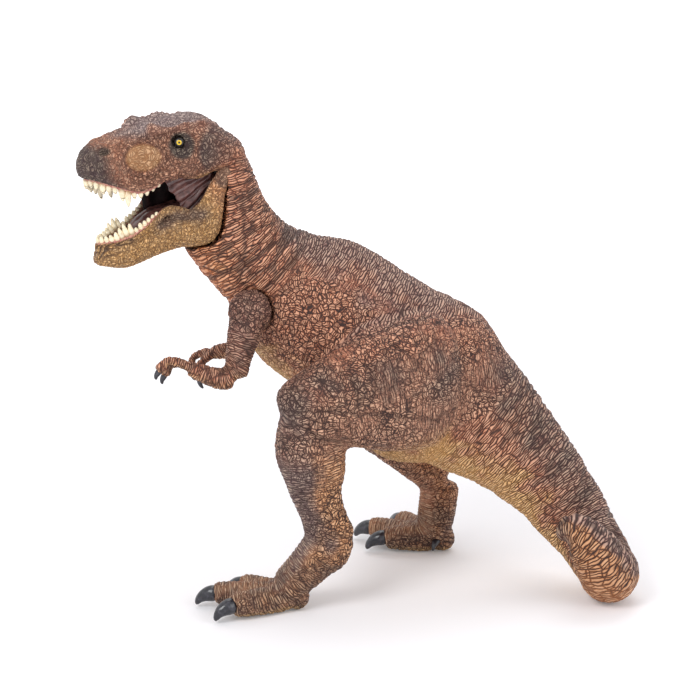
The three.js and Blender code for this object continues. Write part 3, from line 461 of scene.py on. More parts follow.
# %% Melt the body, the head, the jaw and the arms
BODY_VOXEL = 0.47 * MM
FACE_VOXEL = 0.3 * MM
LIMB_VOXEL = 0.34 * MM
NECK_CUT, NECK_WAY = (-44, 0, 146), (-0.5, 0, 0.866)
NECK_SPARE = 8  # the neck that the head keeps below that plane until both are cut there
KNEE = [(-20.5, -40, 73, 6), (-21.5, -40, 69, 8.2), (-22, -40, 65, 8.6), (-21.5, -39.5, 61, 8.4),
        (-20, -39, 57, 7)]
ANKLE = [(-9.5, -36, 31, 5), (-10, -36, 28, 6.9), (-10.3, -36, 24.5, 7.1), (-11.5, -36, 21, 7),
         (-14, -36, 17, 6)]
body_solids = merged_copy("torso", "tail", "left_leg", "right_leg", "head")
for joint in (KNEE, ANKLE):
    grow(body_solids, [row[:3] for row in joint], [row[3] for row in joint], 20)
body_skin = melted(body_solids, "body_skin", BODY_VOXEL, COARSE, 8)

head_solids = merged_copy("head", "torso")
cut_off(head_solids, Vector(NECK_CUT) - NECK_SPARE * Vector(NECK_WAY), -Vector(NECK_WAY))
lay_lip(head_solids, UPPER_LIP)
head_skin = melted(head_solids, "whole_head_skin", FACE_VOXEL, 0.45 * MM, 5)

jaw_solids = merged_copy("lower_jaw")
reshape_jaw(jaw_solids)
lay_lip(jaw_solids, LOWER_LIP, JAW_GAPE)
for hand in (1, -1):
    boss = [head_point(-0.3, hand * y, -1, JAW_GAPE) for y in (11.5, 12.3, 13.3)]
    grow(jaw_solids, boss, (3.2, 3.2, 2.4), 16)
jaw_skin = melted(jaw_solids, "lower_jaw_skin", FACE_VOXEL, 0.4 * MM, 4)
arm_skins = {side: melted(with_knuckles(side), side + "_arm_skin", LIMB_VOXEL, 0.5 * MM, 5)
             for side in ("left", "right")}


# %% [markdown]
# ## Carving
# The master's maker pressed a few long folds first, where the limbs bend, then a net of wrinkles that
# follows each limb, then rows of plates on the feet. The same order works on the mesh: every corner moves
# in or out along its normal by a height in millimetres, which is the sum of those layers. Masks keep each
# layer to its place.

# %% Read and write a mesh as columns
def corners_of(mesh):
    """The corners and their normals, as rows in millimetres."""
    count = len(mesh.vertices)
    places, lies = np.empty(count * 3, np.float32), np.empty(count * 3, np.float32)
    mesh.vertices.foreach_get("co", places)
    mesh.vertex_normals.foreach_get("vector", lies)
    return places.reshape(-1, 3).astype(float) / MM, lies.reshape(-1, 3).astype(float)


def move_corners(mesh, places):
    mesh.vertices.foreach_set("co", (places * MM).astype(np.float32).ravel())
    mesh.update()


def keep_values(mesh, name, kind, values):
    """Stores one value for each corner as a named attribute, for the material to read."""
    field = {"FLOAT": "value", "FLOAT_VECTOR": "vector", "FLOAT_COLOR": "color"}[kind]
    if kind == "FLOAT_COLOR":
        values = np.concatenate([values, np.ones((len(values), 1))], axis=1)
    layer = mesh.attributes.new(name, kind, "POINT")
    layer.data.foreach_set(field, values.astype(np.float32).ravel())


def keep_skin(piece, coat, groove, across, fine, grain):
    """Stores what the skin's material reads: paint, grooves that take the wash and painted shade, and the way
    and strength of the fine net.
    """
    keep_values(piece.data, "Coat", "FLOAT_COLOR", coat)
    for name, values in (("Groove", groove), ("Across", across), ("Fine", fine)):
        keep_values(piece.data, name, "FLOAT", np.broadcast_to(values, len(coat)))
    keep_values(piece.data, "Grain", "FLOAT_VECTOR", grain)


def mixed(under, over, mask):
    """One colour, or one for each corner, laid over another by a mask."""
    return under + (over - under) * mask[:, None]


def sprayed(coat, *sprays):
    """The coat under a row of sprays, each a paint and its mask."""
    for over, mask in sprays:
        coat = mixed(coat, over, mask)
    return coat


def net(place, pitch_along, pitch_round, salt):
    """A wrinkle net on a limb: 0 in a crease and 1 on the skin between. Its cells lie across the limb."""
    cells = place / np.array([pitch_along, pitch_round, pitch_round])
    return soft(cracks(wander(cells, 1.7, 0.45, salt), salt + 5), 0, 0.42)


def long_creases(place, pitch_along, pitch_round, salt):
    """Thin long lines across a limb: 1 in the line."""
    cells = place / np.array([pitch_along, pitch_round, pitch_round])
    return 1 - soft(cracks(wander(cells, 0.8, 0.25, salt), salt + 5), 0.02, 0.2)


# %% Long folds of the near flank: depth and half width, then a path
FOLDS = [
    (1.0, 1.6, [(-23, -28, 87), (-15, -29, 92), (-6, -33, 96), (2, -34, 99), (8, -32, 101), (14, -22, 105)]),
    (0.5, 1.1, [(11, -31, 102.5), (19, -28, 104), (27, -22, 103)]),
    (0.45, 1.0, [(9, -33, 100), (18, -31, 100), (26, -26, 99)]),
    (0.5, 1.2, [(10, -38, 97), (15, -38.5, 94.6), (19, -39, 89.4)]),
    (0.6, 1.2, [(0, -43, 91.6), (3.5, -44, 89), (4.2, -45, 86), (3.5, -46.5, 81.6), (1.5, -47.5, 78)]),
    (0.5, 1.1, [(-7.7, -44, 89), (-3.6, -46, 86.7), (-2.3, -47, 84), (-1, -48, 77)]),
    (0.5, 1.2, [(-16, -50, 77), (-4, -49, 75.5), (8, -45.5, 74), (26, -35, 69)]),
    (0.5, 1.1, [(-14, -51, 72), (0, -48, 70), (12, -43, 68)]),
    (0.8, 1.4, [(-19, -50, 70), (-15, -49, 66), (-8, -46, 64)]),
    (0.6, 1.3, [(-41, -18, 145), (-41, -19.5, 133), (-41, -20, 120)]),
    (0.5, 1.3, [(-49, -20, 130), (-43, -20, 123), (-38, -20, 116)]),
    (0.5, 1.2, [(-52, -19, 123), (-46, -19, 117), (-40, -19, 112)]),
    (0.9, 1.5, [(-23, -17, 123), (-29, -20, 117.5), (-34, -21, 112)]),
    (0.5, 1.3, [(60, -4.5, 74), (55, -18, 67), (49, -21.5, 56)]),
    (0.45, 1.3, [(50, -8, 80), (46, -20, 70), (40, -23, 60)]),
    (0.45, 1.3, [(68, -6, 62), (64, -17, 54), (60, -19, 45)]),
    (0.35, 0.8, [(7, -39, 96), (10, -42, 90), (11, -44, 84), (11, -43, 78)]),
    (0.35, 0.8, [(12, -37, 96), (18, -38, 92), (22, -38, 86), (22, -37, 79)]),
    (0.35, 0.8, [(17, -34, 96), (25, -34, 92), (30, -33, 85), (30, -32, 77)]),
    (0.9, 0.9, [(75, -24, 31.5), (81, -25, 31), (86, -28, 29), (89, -33, 27), (92, -36, 22), (95, -36, 15)]),
]
NECK_MIDDLE = -3


def beside(hand, x, y, z):
    """The point itself, or for hand -1 its mirror image on the far side of the trunk."""
    return x, NECK_MIDDLE + hand * (y - NECK_MIDDLE), z


def body_marks(points):
    """Each limb's nearness, and how much each corner belongs to it."""
    found = {name: along(points, line)
             for name, line in (("spine", SPINE), ("left", LEFT_LEG), ("right", RIGHT_LEG))}
    head = in_head(points)
    found["head"] = (np.linalg.norm((head - [16, 0, 8]) / [33, 15, 13], axis=1), head)
    shares = {name: np.exp(-9 * near) for name, (near, _) in found.items()}
    total = sum(shares.values())
    return {name: (shares[name] / total, found[name][1]) for name in found}


# %% [markdown]
# ## The head
# The face has the sharpest carving on the figure: a beaded ridge over a smooth oval, a brow that rises to a
# blunt horn over each eye, a nostril, and a pebbly cheek. Each is a bump or a groove with a place and a
# size in the head's frame, and both sides are made at once by reading y without its sign.

# %% Face bumps: height, then half widths, then the middle
FACE_BUMPS = [
    (0.9, (3.0, 2.2, 2.0), (41, 6.2, 12.6)),
    (0.8, (2.4, 2.0, 1.8), (35, 5.5, 14.2)),
    (0.9, (2.6, 3.0, 2.0), (30.5, 4.2, 14.8)),
    (1.3, (1.9, 2.2, 2.4), (24.2, 8.2, 17.4)),
    (-2.2, (3.0, 6.0, 3.0), (18.2, 7, 19)),
    (-0.5, (4.0, 3.5, 3.0), (12, 8, 19.5)),
    (0.5, (3.0, 1.6, 1.6), (13.5, 12.4, 17.6)),
    (0.6, (2.2, 2.2, 2.0), (5.5, 9.6, 17.6)),
    (3.3, (6.5, 10.0, 6.0), (-2, 0, 18)),
    (3.4, (6.5, 9.0, 6.5), (-9.5, 0, 11)),
    (0.8, (4.5, 3.0, 3.2), (9, 12.6, 4.0)),
    (0.7, (4.0, 3.0, 5.0), (2.5, 12.0, 10)),
    (-2.6, (2.2, 1.8, 1.3), (41.2, 7.4, 10.2)),
    (-1.0, (3.6, 2.2, 2.4), (14.0, 12.8, 10.2)),
    (-0.6, (4.0, 3.0, 1.8), (30, 0, 16.8)),
]
FACE_RIDGES = [
    (1.1, 0.9, [(36, 7.6, 12.2), (30, 9.2, 14.6), (24, 10.4, 16.4), (19, 12.2, 16.8)]),
    (0.8, 0.9, [(19, 12.4, 16.6), (15.5, 12.6, 17.6), (11, 11.4, 18.2), (6, 10.2, 17.6)]),
    (0.35, 0.7, [(17, 12.8, 14.4), (13, 13, 15), (9, 12.8, 14.6), (7, 12.6, 12.6)]),
    (0.4, 0.7, [(21.4, 11.4, 15), (22.4, 11.8, 11), (21.6, 12.2, 7), (18, 12.8, 4.4)]),
    (-0.6, 0.8, [(20.5, 11.6, 13.5), (21, 12, 9), (19, 12.4, 5), (14, 13.6, 3)]),
    (-0.5, 0.9, [(-3, 12, 16), (0, 13, 10), (0, 13.6, 4), (2, 13.5, 1)]),
    (0.5, 0.9, [(38, 8.0, 1.2), (30, 9.6, -1.2), (24, 10.6, 0), (18, 12, 2)]),
]
OVAL_MIDDLE, OVAL_HALVES = (28, 7.3), (6.6, 5.2)
EYE_AT = np.array([15.6, 12.0, 12.1])


def face_heights(points):
    """Bumps, ridges and the oval's rim, in millimetres, and masks for the painter."""
    x, y, z = points.T
    face = np.stack([x, np.abs(y), z], axis=1)
    height = np.zeros(len(face))
    for rise, halves, middle in FACE_BUMPS:
        height += rise * bell(np.linalg.norm((face - middle) / halves, axis=1), 1)
    beads = 0.75 + 0.25 * np.cos(2 * math.pi * (x + 0.3 * drift(points, 3, 71)) / 1.7)
    for rise, half, path in FACE_RIDGES:
        height += rise * beads * bell(stroke(face, path), half)
    oval = np.hypot((x - OVAL_MIDDLE[0]) / OVAL_HALVES[0], (z - OVAL_MIDDLE[1]) / OVAL_HALVES[1])
    outside = soft(face[:, 1], 6, 8)
    height += outside * 0.7 * bell(oval - 1.08, 0.12) * (1 + 0.5 * drift(points, 1.5, 31))
    height -= outside * 0.5 * bell(oval - 0.92, 0.09)
    return height, (1 - soft(oval, 0.82, 1.0)) * outside


def pebbles(points, pitch, salt):
    """Small round scales: 0 between them, 1 on top."""
    return soft(cracks(wander(points / pitch, 1.5, 0.25, salt), salt), 0, 0.5)


# %% Carve the body
def carve_body(piece):
    """Folds, wrinkles, plates and the face, on the trunk's skin or on the head's."""
    points, lies = corners_of(piece.data)
    marks = body_marks(points)
    height, groove, across, ownest = (np.zeros(len(points)) for _ in range(4))
    fine = np.ones(len(points))
    grain = np.zeros((len(points), 3))

    spine_share, spine = marks["spine"]
    run = spine[:, 0]
    back = soft(lies[:, 2], 0.2, 0.8)
    neck = 1 - soft(run, 48, 66)
    tail = soft(run, 120, 150)
    wrinkles = net(points, 2.3, 2.3, 11)
    lines = long_creases(spine, 3.4, 17, 41)
    rows = np.cos(2 * math.pi * (run + 0.8 * drift(spine, 5, 3)) / (1.7 + 0.9 * soft(run, 90, 150)))
    bold = 0.35 + 0.65 * np.maximum(neck, 0.8 * tail * soft(lies[:, 2], -0.3, 0.4))
    height += spine_share * (0.16 * (wrinkles - 1) - 0.42 * bold * lines
                             + 0.14 * rows * np.maximum(back, 0.4 * tail))
    groove = np.maximum(groove, spine_share * np.maximum(0.35 * (1 - wrinkles), bold * lines))
    fine -= 0.4 * spine_share * soft(-lies[:, 2], 0.2, 0.7)
    spine_across = np.clip(np.maximum.reduce([0.9 * neck, 0.9 * back, 0.75 * tail]), 0, 1)

    layers = {"spine": (spine_share, spine, spine_across)}
    for name, salt in (("left", 61), ("right", 81)):
        share, place = marks[name]
        run = place[:, 0]
        wrinkles = net(points, 2.1, 2.1, salt)
        lines = long_creases(place, 3.6, 13, salt + 9)
        low = 1 - soft(points[:, 2], 24, 34)
        front = soft(-lies[:, 0] + 0.7 * lies[:, 2], 0.1, 0.7)
        plates = np.abs(np.cos(math.pi * (run + 0.25 * drift(place, 6, salt)) / 2.0)) ** 0.6
        scutes = low * front
        shank = (1 - soft(points[:, 2], 52, 62)) * front
        ribs = np.abs(np.cos(math.pi * (run + 0.6 * drift(place, 3, salt + 3)) / 1.7)) ** 0.7
        plain, ribbed = (1 - scutes) * (1 - shank), shank * (1 - scutes)
        height += share * (plain * (0.18 * (wrinkles - 1) - 0.25 * lines) + scutes * 0.5 * (plates - 1)
                           + ribbed * 0.4 * (ribs - 1))
        dark = (plain * np.maximum(0.4 * (1 - wrinkles), 0.7 * lines) + scutes * (1 - soft(plates, 0.2, 0.7))
                + ribbed * 0.8 * (1 - soft(ribs, 0.2, 0.75)))
        groove = np.maximum(groove, share * dark)
        fine -= share * 0.75 * np.maximum(scutes, 0.5 * shank)
        layers[name] = (share, place, np.maximum(0.9 * shank, 0.42 + 0.25 * drift(points, 9, salt + 5)))

    head_share, head = marks["head"]
    bumps, oval = face_heights(head)
    scales = pebbles(head, 1.15, 23)
    smooth = np.maximum(0.7 * oval, soft(head[:, 2], 14, 17))
    height += head_share * (bumps + 0.2 * (1 - smooth) * (scales - 1))
    groove = np.maximum(groove, head_share * 0.75 * (1 - scales) * (1 - smooth))
    fine -= head_share * (0.25 + 0.3 * soft(head[:, 0], 30, 38) + 0.35 * oval)
    layers["head"] = (head_share, head, np.zeros(len(points)))

    for share, place, lying in layers.values():
        owned = share > ownest
        grain = np.where(owned[:, None], place, grain)
        across = np.where(owned, lying * soft(share, 0.5, 0.75), across)
        ownest = np.maximum(ownest, share)

    for depth, half, path in FOLDS:
        for hand in (1, -1):
            cut = bell(stroke(points, [beside(hand, *at) for at in path]), half)
            height -= depth * cut
            groove = np.maximum(groove, 0.8 * cut)

    places = points + lies * height[:, None]
    places[:, 2] = np.maximum(places[:, 2], 0)
    move_corners(piece.data, places)
    keep_skin(piece, paint_body(points, lies, marks, oval), groove, across, fine, grain)
    low, high = (round(float(end), 2) for end in (height.min(), height.max()))
    print("carved", piece.name, "deepest", low, "highest", high)


# %% [markdown]
# ## Painting
# The toy is sprayed with an ochre ground, brown over its flanks and mauve grey along its back, and a dark
# wash is wiped into the creases. The material deepens that wash with painted shade, and lightens the raised
# skin between creases with a painted highlight. Soft masks lay each spray over the one before, and drift
# keeps their edges from running straight. The result is one colour for each corner, which the material
# mixes with finer noise.

# %% Zones of paint
OCHRE, FLANK, BACK = paint(240, 178, 98), paint(202, 116, 78), paint(140, 92, 86)
THROAT, CURL, STRIPE = paint(216, 120, 60), paint(190, 112, 46), paint(76, 49, 50)
# The far leg's paint is paler than the near thigh's: painted light, where that leg would otherwise render in
# shade.
THIGH, FAR_LEG_PAINTED_LIGHT, SHANK = paint(200, 134, 102), paint(240, 160, 112), paint(104, 73, 75)
TAN, FOOT, SOLE = paint(224, 150, 92), paint(98, 60, 47), paint(236, 184, 112)
CROWN, CHEEK, BROW, SLATE = paint(146, 120, 122), paint(184, 116, 84), paint(170, 102, 72), paint(62, 42, 47)
OVAL, SOCKET, LIP, MOUTH_ROOF_AND_SHADE = paint(184, 126, 74), paint(30, 24, 28), paint(206, 128, 112), paint(40, 22, 22)
DARK_PATCHES = [(9, -42, 88, 7), (-2, -45, 84, 5), (30, -34, 84, 8), (26, -34, 90, 5), (51, -13, 80, 9),
                (50, -17, 70, 6), (63, -14, 64, 9), (60, -17, 57, 5), (71, -14, 48, 7), (80, -16, 36, 6),
                (-12, -46, 84, 6), (-25, -46, 78, 6)]
BANDS = (136, 150, 163, 178, 192, 206)
BROW_LINE = [(24, 10, 16), (18, 12.4, 16), (12, 12.4, 16.4), (6, 11, 16)]
SHOULDER, CURL_UP = (-39.5, 104), np.array([0.5, 0.1, 0.86])


def paint_body(points, lies, marks, oval):
    """One colour for each corner: the sprays of the trunk, then of the legs, the patches and the face."""
    x, _, z = points.T
    blotch = drift(points, 9, 101)
    fleck = drift(points, 3.5, 103)
    spine_share, spine = marks["spine"]
    run = spine[:, 0]
    tall = lies[:, 2] + 0.22 * blotch + 0.12 * fleck
    tail = soft(run, 150, 175)
    upper = soft(lies @ CURL_UP + 0.15 * fleck, 0.25, 0.6)
    skin = sprayed(
        mixed(OCHRE, FLANK, soft(tall, -0.75, -0.25)),
        (BACK, soft(tall, 0.25, 0.85)),
        (FLANK, 1 - soft(np.hypot(x - SHOULDER[0], z - SHOULDER[1]), 10, 13)),
        (THROAT, (1 - soft(run, 42, 62)) * soft(-lies[:, 0] + 0.3 * blotch, -0.2, 0.5)),
        *((STRIPE, 0.4 * bell(run - at + 2.5 * blotch, 3.2) * soft(tall, -0.1, 0.3)) for at in BANDS),
        (BACK, 0.6 * tail * soft(tall, -0.2, 0.3)),
        (OCHRE, 0.9 * tail * soft(-tall, 0.05, 0.4)),
        (mixed(CURL, BACK, upper), soft(run, 213, 222)),
        (STRIPE, 0.8 * soft(run, 248, 254)))

    front = soft(-lies[:, 0] + 0.35 * blotch, -0.25, 0.35)
    for name in ("left", "right"):
        share, place = marks[name]
        leg = sprayed(
            mixed(THIGH, FLANK, soft(tall, 0.0, 0.7)),
            (mixed(TAN, SHANK, front), 1 - soft(z, 52, 66)),
            (SHANK, 0.8 * bell(place[:, 0] - 60, 9) * front),
            # Painted light: the far leg is sprayed paler than the near one, where it would otherwise render
            # in shade.
            *([(FAR_LEG_PAINTED_LIGHT, 0.65 + 0.2 * fleck)] if name == "right" else []),
            (mixed(TAN, FOOT, 0.8 + 0.3 * fleck), 0.9 * (1 - soft(z, 14, 24))),
            (SOLE, 0.8 * (1 - soft(z, 1.2, 3.4))))
        skin = mixed(skin, leg, share)
    loose = wander(points, 8, 3, 107)
    dark = np.zeros(len(points))
    for hand in (1, -1):
        for *at, reach in DARK_PATCHES:
            dark = np.maximum(dark, bell(np.linalg.norm(loose - beside(hand, *at), axis=1), reach))
    skin = mixed(skin, STRIPE, 0.85 * dark)

    share, head = marks["head"]
    hx, hy, hz = head.T
    aside = np.stack([hx, np.abs(hy), hz], axis=1)
    socket = np.linalg.norm((aside - [14.8, 12.5, 10.8]) / [5.2, 6, 5.4], axis=1)
    nostril = np.linalg.norm((aside - [41, 7.3, 10.3]) / [2.6, 3, 1.6], axis=1)
    inside = (1 - soft(np.abs(hy), 8, 11)) * (1 - soft(hz, 3, 6)) * soft(hx, 2, 6)
    face = sprayed(
        mixed(CHEEK, CROWN, soft(hz + 2 * blotch, 13, 17)),
        (BROW, 0.8 * (1 - soft(stroke(aside, BROW_LINE) + blotch, 1.2, 3.4))),
        (SLATE, soft(hx + 2 * blotch - 0.5 * hz, 34, 41)),
        (SLATE, soft(8 - np.hypot(hx - 2.5, (hz - 9) / 1.4) + 1.5 * blotch, 0, 3)),
        (OVAL, oval),
        (SOCKET, 1 - soft(socket, 0.7, 1.05)),
        (SOCKET, 0.9 * (1 - soft(nostril, 0.6, 1.1))),
        (LIP, 1 - soft(stroke(aside, UPPER_GUM), 1.0, 1.4)),
        # The roof of the mouth, where it faces down: its dark flesh colour with painted shade over it.
        (MOUTH_ROOF_AND_SHADE, soft(-lies[:, 2], 0.4, 0.7) * inside))
    return mixed(skin, face, share)


carve_body(body_skin)
carve_body(head_skin)


# %% [markdown]
# ## The lower jaw
# The jaw is its own casting, so it is carved apart, in the frame of the opened jaw. It has pebbly skin, a
# swollen dark lip halfway along, and short upright notches at the front of the lip. Near the hinge it
# slides inside the head, so the carving only goes inwards there.

# %% Carve and paint the jaw
JAW_SAND, JAW_DARK, JAW_HINGE, JAW_INSIDE_AND_SHADE = (
    paint(234, 174, 100), paint(84, 58, 54), paint(158, 108, 78), paint(78, 42, 40))
SWOLLEN_LIP = [(13, 12, -9), (17, 11, -7), (20, 10.3, -5.4), (26, 8.4, -6)]


def carve_jaw(piece):
    points, lies = corners_of(piece.data)
    jaw = in_jaw(points)
    x, y, z = jaw.T
    aside = np.stack([x, np.abs(y), z], axis=1)
    scales = pebbles(jaw, 1.15, 131)
    outer = np.minimum(1, soft(lies @ ASIDE * np.sign(y), -0.1, 0.3) + soft(-lies[:, 2], 0.2, 0.6))
    lip = bell(stroke(aside, SWOLLEN_LIP), 2.8)
    front = soft(x, 33, 38) * soft(z, -10, -6)
    notches = front * (0.5 + 0.5 * np.cos(2 * math.pi * (np.hypot(x - 34, 2 * y) + 1.4 * y) / 2.3))
    height = outer * (0.22 * (scales - 1) + 0.5 * lip - 0.6 * notches) * soft(x, 0, 9)
    places = points + lies * height[:, None] - (0.5 * (1 - soft(x, 0, 5)))[:, None] * AHEAD
    move_corners(piece.data, places)
    blotch = drift(jaw, 6, 141)
    rim = stroke(aside, LOWER_GUM)
    coat = sprayed(
        mixed(JAW_SAND, TAN, soft(x + 3 * blotch, 12, 2)),
        (JAW_HINGE, (1 - soft(np.hypot(x, z + 1) + blotch, 2.5, 4.5)) * outer),
        (JAW_DARK, 0.85 * np.minimum(1, 1.3 * lip) * outer),
        (JAW_DARK, 0.7 * notches),
        # The jaw's inner wall: its dark flesh colour deepened with painted shade.
        (JAW_INSIDE_AND_SHADE, (1 - outer) * soft(rim, 1.2, 1.8)),
        (LIP, 1 - soft(rim, 1.0, 1.5)))
    keep_skin(piece, coat, outer * np.maximum(0.75 * (1 - scales), notches), 0.0, 0.6, jaw)
    print("carved", piece.name)


carve_jaw(jaw_skin)

# %% [markdown]
# ## The arms
# Each arm is small and plugs into the chest, so its seam at the shoulder is real. Rings of fine wrinkles
# run round the forearm and the fingers, and the shoulder has the coarser net of the flank.


# %% Carve and paint the arms
def carve_arm(piece, line, salt):
    points, lies = corners_of(piece.data)
    _, place = along(points, line)
    wrinkles = net(place, 1.2, 3.2, salt)
    coarse = long_creases(place, 2.6, 9, salt + 7)
    height = 0.15 * (wrinkles - 1) - 0.25 * coarse
    move_corners(piece.data, points + lies * height[:, None])
    blotch = drift(points, 5, salt + 20)
    low = soft(place[:, 0], 14, 24)
    coat = mixed(BACK, mixed(FLANK, TAN, soft(-lies[:, 2], -0.2, 0.6)), 0.35 + 0.5 * low + 0.2 * blotch)
    groove = np.maximum(0.6 * (1 - wrinkles), 0.8 * coarse)
    keep_skin(piece, coat, groove, soft(place[:, 0], 4, 12), 1.0, place)
    print("carved", piece.name)


carve_arm(arm_skins["left"], LEFT_ARM, 151)
carve_arm(arm_skins["right"], RIGHT_ARM, 171)

# %% [markdown]
# ## Parting the skin
# One mesh of the whole body has too many faces to be handy, so flat cuts part it, as the two-part mould of
# a real figure does. The cut faces are closed. The corners keep the way that they faced before the cut, so
# that light runs over a cut without a line.

# %% Cut the body with flat planes
def part_off(source, name, planes):
    """A copy of what lies behind every plane, each a point and a normal, with its cuts closed."""
    bm = bmesh.new()
    bm.from_mesh(source.data)
    for at, normal in planes:
        cut_off(bm, at, normal, dist=1e-7)
    piece = object_of(bm, name)
    kept = np.empty(len(piece.data.vertices) * 3, np.float32)
    piece.data.attributes["Lie"].data.foreach_get("vector", kept)
    piece.data.normals_split_custom_set_from_vertices(kept.reshape(-1, 3).tolist())
    piece.data.attributes.remove(piece.data.attributes["Lie"])
    piece.data.calc_loop_triangles()
    print(name, "triangles", len(piece.data.loop_triangles))
    return piece


def opposite(way):
    return tuple(-part for part in way)


for whole in (body_skin, head_skin):
    keep_values(whole.data, "Lie", "FLOAT_VECTOR", corners_of(whole.data)[1])
LEFT, RIGHT, TOWARDS, AWAY = (-1, 0, 0), (1, 0, 0), (0, -1, 0), (0, 1, 0)
CHEST_CUT, MIDDLE = (-8, 0, 0), (0, 0, 0)
TAIL_CUT, TAIL_WAY = (48, 0, 48), (0.94, 0, 0.34)
SHANK_CUT = (0, 0, 39)
body_parts = {name: part_off(source, name, planes) for name, source, planes in (
    ("head_skin", head_skin, [(NECK_CUT, opposite(NECK_WAY))]),
    ("chest_skin", body_skin, [(NECK_CUT, NECK_WAY), (CHEST_CUT, RIGHT), (SHANK_CUT, DOWN)]),
    ("hip_skin", body_skin, [(CHEST_CUT, LEFT), (TAIL_CUT, TAIL_WAY), (SHANK_CUT, DOWN)]),
    ("tail_skin", body_skin, [(TAIL_CUT, opposite(TAIL_WAY))]),
    ("left_shank_skin", body_skin, [(SHANK_CUT, UP), (MIDDLE, AWAY), (TAIL_CUT, TAIL_WAY)]),
    ("right_shank_skin", body_skin, [(SHANK_CUT, UP), (MIDDLE, TOWARDS), (TAIL_CUT, TAIL_WAY)]))}
for whole in (body_skin, head_skin):
    bpy.data.objects.remove(whole)

# %% [markdown]
# ## Materials
# Fine wrinkles, pits and specks are too small to carve, so the material adds them. One node group draws
# rows of creases that noise bends and a net of cells crosses, and one draws the mottling of sprayed paint.
# Each skin runs the creases along two axes of the figure and along its limb, and mixes the three by a soft
# patch and by the mask named Across.


# %% Helpers for nodes
def add(tree, kind, **settings):
    """A node with these properties, its inputs set to a value or linked to a socket, by name or number."""
    made = tree.nodes.new(kind)
    inputs = settings.pop("inputs", {})
    for key, value in settings.items():
        setattr(made, key, value)
    for key, value in inputs.items():
        if isinstance(value, bpy.types.NodeSocket):
            tree.links.new(value, made.inputs[key])
        else:
            made.inputs[key].default_value = value
    return made


def mapped(tree, value, low, high, to_low=0.0, to_high=1.0):
    """A smooth step of a value between two limits."""
    return add(tree, "ShaderNodeMapRange", interpolation_type="SMOOTHSTEP",
               inputs={"Value": value, "From Min": low, "From Max": high, "To Min": to_low,
                       "To Max": to_high}).outputs["Result"]


def blended(tree, under, over, share, way="MIX"):
    made = add(tree, "ShaderNodeMix", data_type="RGBA", blend_type=way, inputs={"Factor": share})
    for key, value in ((6, under), (7, over)):
        if isinstance(value, bpy.types.NodeSocket):
            tree.links.new(value, made.inputs[key])
        else:
            made.inputs[key].default_value = (*value, 1)
    return made.outputs[2]


def worked(tree, operation, *values):
    """The result of one step of arithmetic on numbers or sockets."""
    return add(tree, "ShaderNodeMath", operation=operation, inputs=dict(enumerate(values))).outputs[0]


def between(tree, low, high, share):
    """A number that runs from one to the other."""
    return add(tree, "ShaderNodeMix", inputs={"Factor": share, 2: low, 3: high}).outputs[0]


def noise(tree, place, scale, detail, **more):
    return add(tree, "ShaderNodeTexNoise",
               inputs={"Vector": place, "Scale": scale, "Detail": detail, **more}).outputs["Fac"]


def group(name, sockets_in, sockets_out):
    """A shader node group with named inputs and outputs, and its two end nodes."""
    tree = bpy.data.node_groups.new(name, "ShaderNodeTree")
    for way, sockets in (("INPUT", sockets_in), ("OUTPUT", sockets_out)):
        for label, kind, start in sockets:
            made = tree.interface.new_socket(label, in_out=way, socket_type="NodeSocket" + kind)
            if start is not None:
                made.default_value = start
    return tree, tree.nodes.new("NodeGroupInput").outputs, tree.nodes.new("NodeGroupOutput").inputs


# %% The wrinkle net and the sprayed mottling
wrinkle, given, results = group("Wrinkle", [("Place", "Vector", None), ("Reach", "Float", 0.0),
                                            ("Pitch", "Float", 1.3), ("Waver", "Float", 4.0),
                                            ("Crossing", "Float", 0.04)],
                                [("Crease", "Float", None), ("Height", "Float", None)])
bent = noise(wrinkle, given["Place"], 0.38, 1.0, Roughness=0.6)
rows = worked(wrinkle, "DIVIDE", given["Reach"], given["Pitch"])
phase = worked(wrinkle, "MULTIPLY_ADD", bent, given["Waver"], rows)
cell = add(wrinkle, "ShaderNodeTexVoronoi", feature="DISTANCE_TO_EDGE",
           inputs={"Vector": given["Place"], "Scale": 0.5})
apart = worked(wrinkle, "MULTIPLY_ADD", cell.outputs["Distance"], 1.8, given["Crossing"])
near = worked(wrinkle, "MINIMUM", worked(wrinkle, "PINGPONG", phase, 0.5), apart)
wrinkle.links.new(mapped(wrinkle, near, 0.07, 0.26, 1.0, 0.0), results["Crease"])
wrinkle.links.new(mapped(wrinkle, near, 0.03, 0.36), results["Height"])

mottle, given, results = group("Mottle", [("Coat", "Color", (1, 1, 1, 1)), ("Place", "Vector", None),
                                          ("Amount", "Float", 0.5)], [("Coat", "Color", None)])
cloud = noise(mottle, given["Place"], 260.0, 4.0, Roughness=0.65)
paler = blended(mottle, given["Coat"], (1.0, 0.82, 0.62), 0.28)
darker = blended(mottle, given["Coat"], (0.10, 0.07, 0.07), 0.30)
swing = blended(mottle, darker, paler, mapped(mottle, cloud, 0.34, 0.66))
mottle.links.new(blended(mottle, given["Coat"], swing, given["Amount"]), results["Coat"])


def use(tree, shared, **inputs):
    return add(tree, "ShaderNodeGroup", node_tree=shared, inputs=inputs).outputs


def finish_of(name, roughness, coat=0.0):
    """A new material with its Principled shader, and the piece's own place as a vector."""
    made = bpy.data.materials.new(name)
    made.use_nodes = True
    tree = made.node_tree
    shader = tree.nodes["Principled BSDF"]
    shader.inputs["Roughness"].default_value = roughness
    shader.inputs["Coat Weight"].default_value = coat
    return made, tree, shader, add(tree, "ShaderNodeTexCoord").outputs["Object"]


def value_of(tree, name, output="Fac"):
    return add(tree, "ShaderNodeAttribute", attribute_name=name).outputs[output]


def bump(tree, shader, height, distance, strength=1.0):
    made = add(tree, "ShaderNodeBump", inputs={"Height": height, "Distance": distance, "Strength": strength})
    tree.links.new(made.outputs["Normal"], shader.inputs["Normal"])


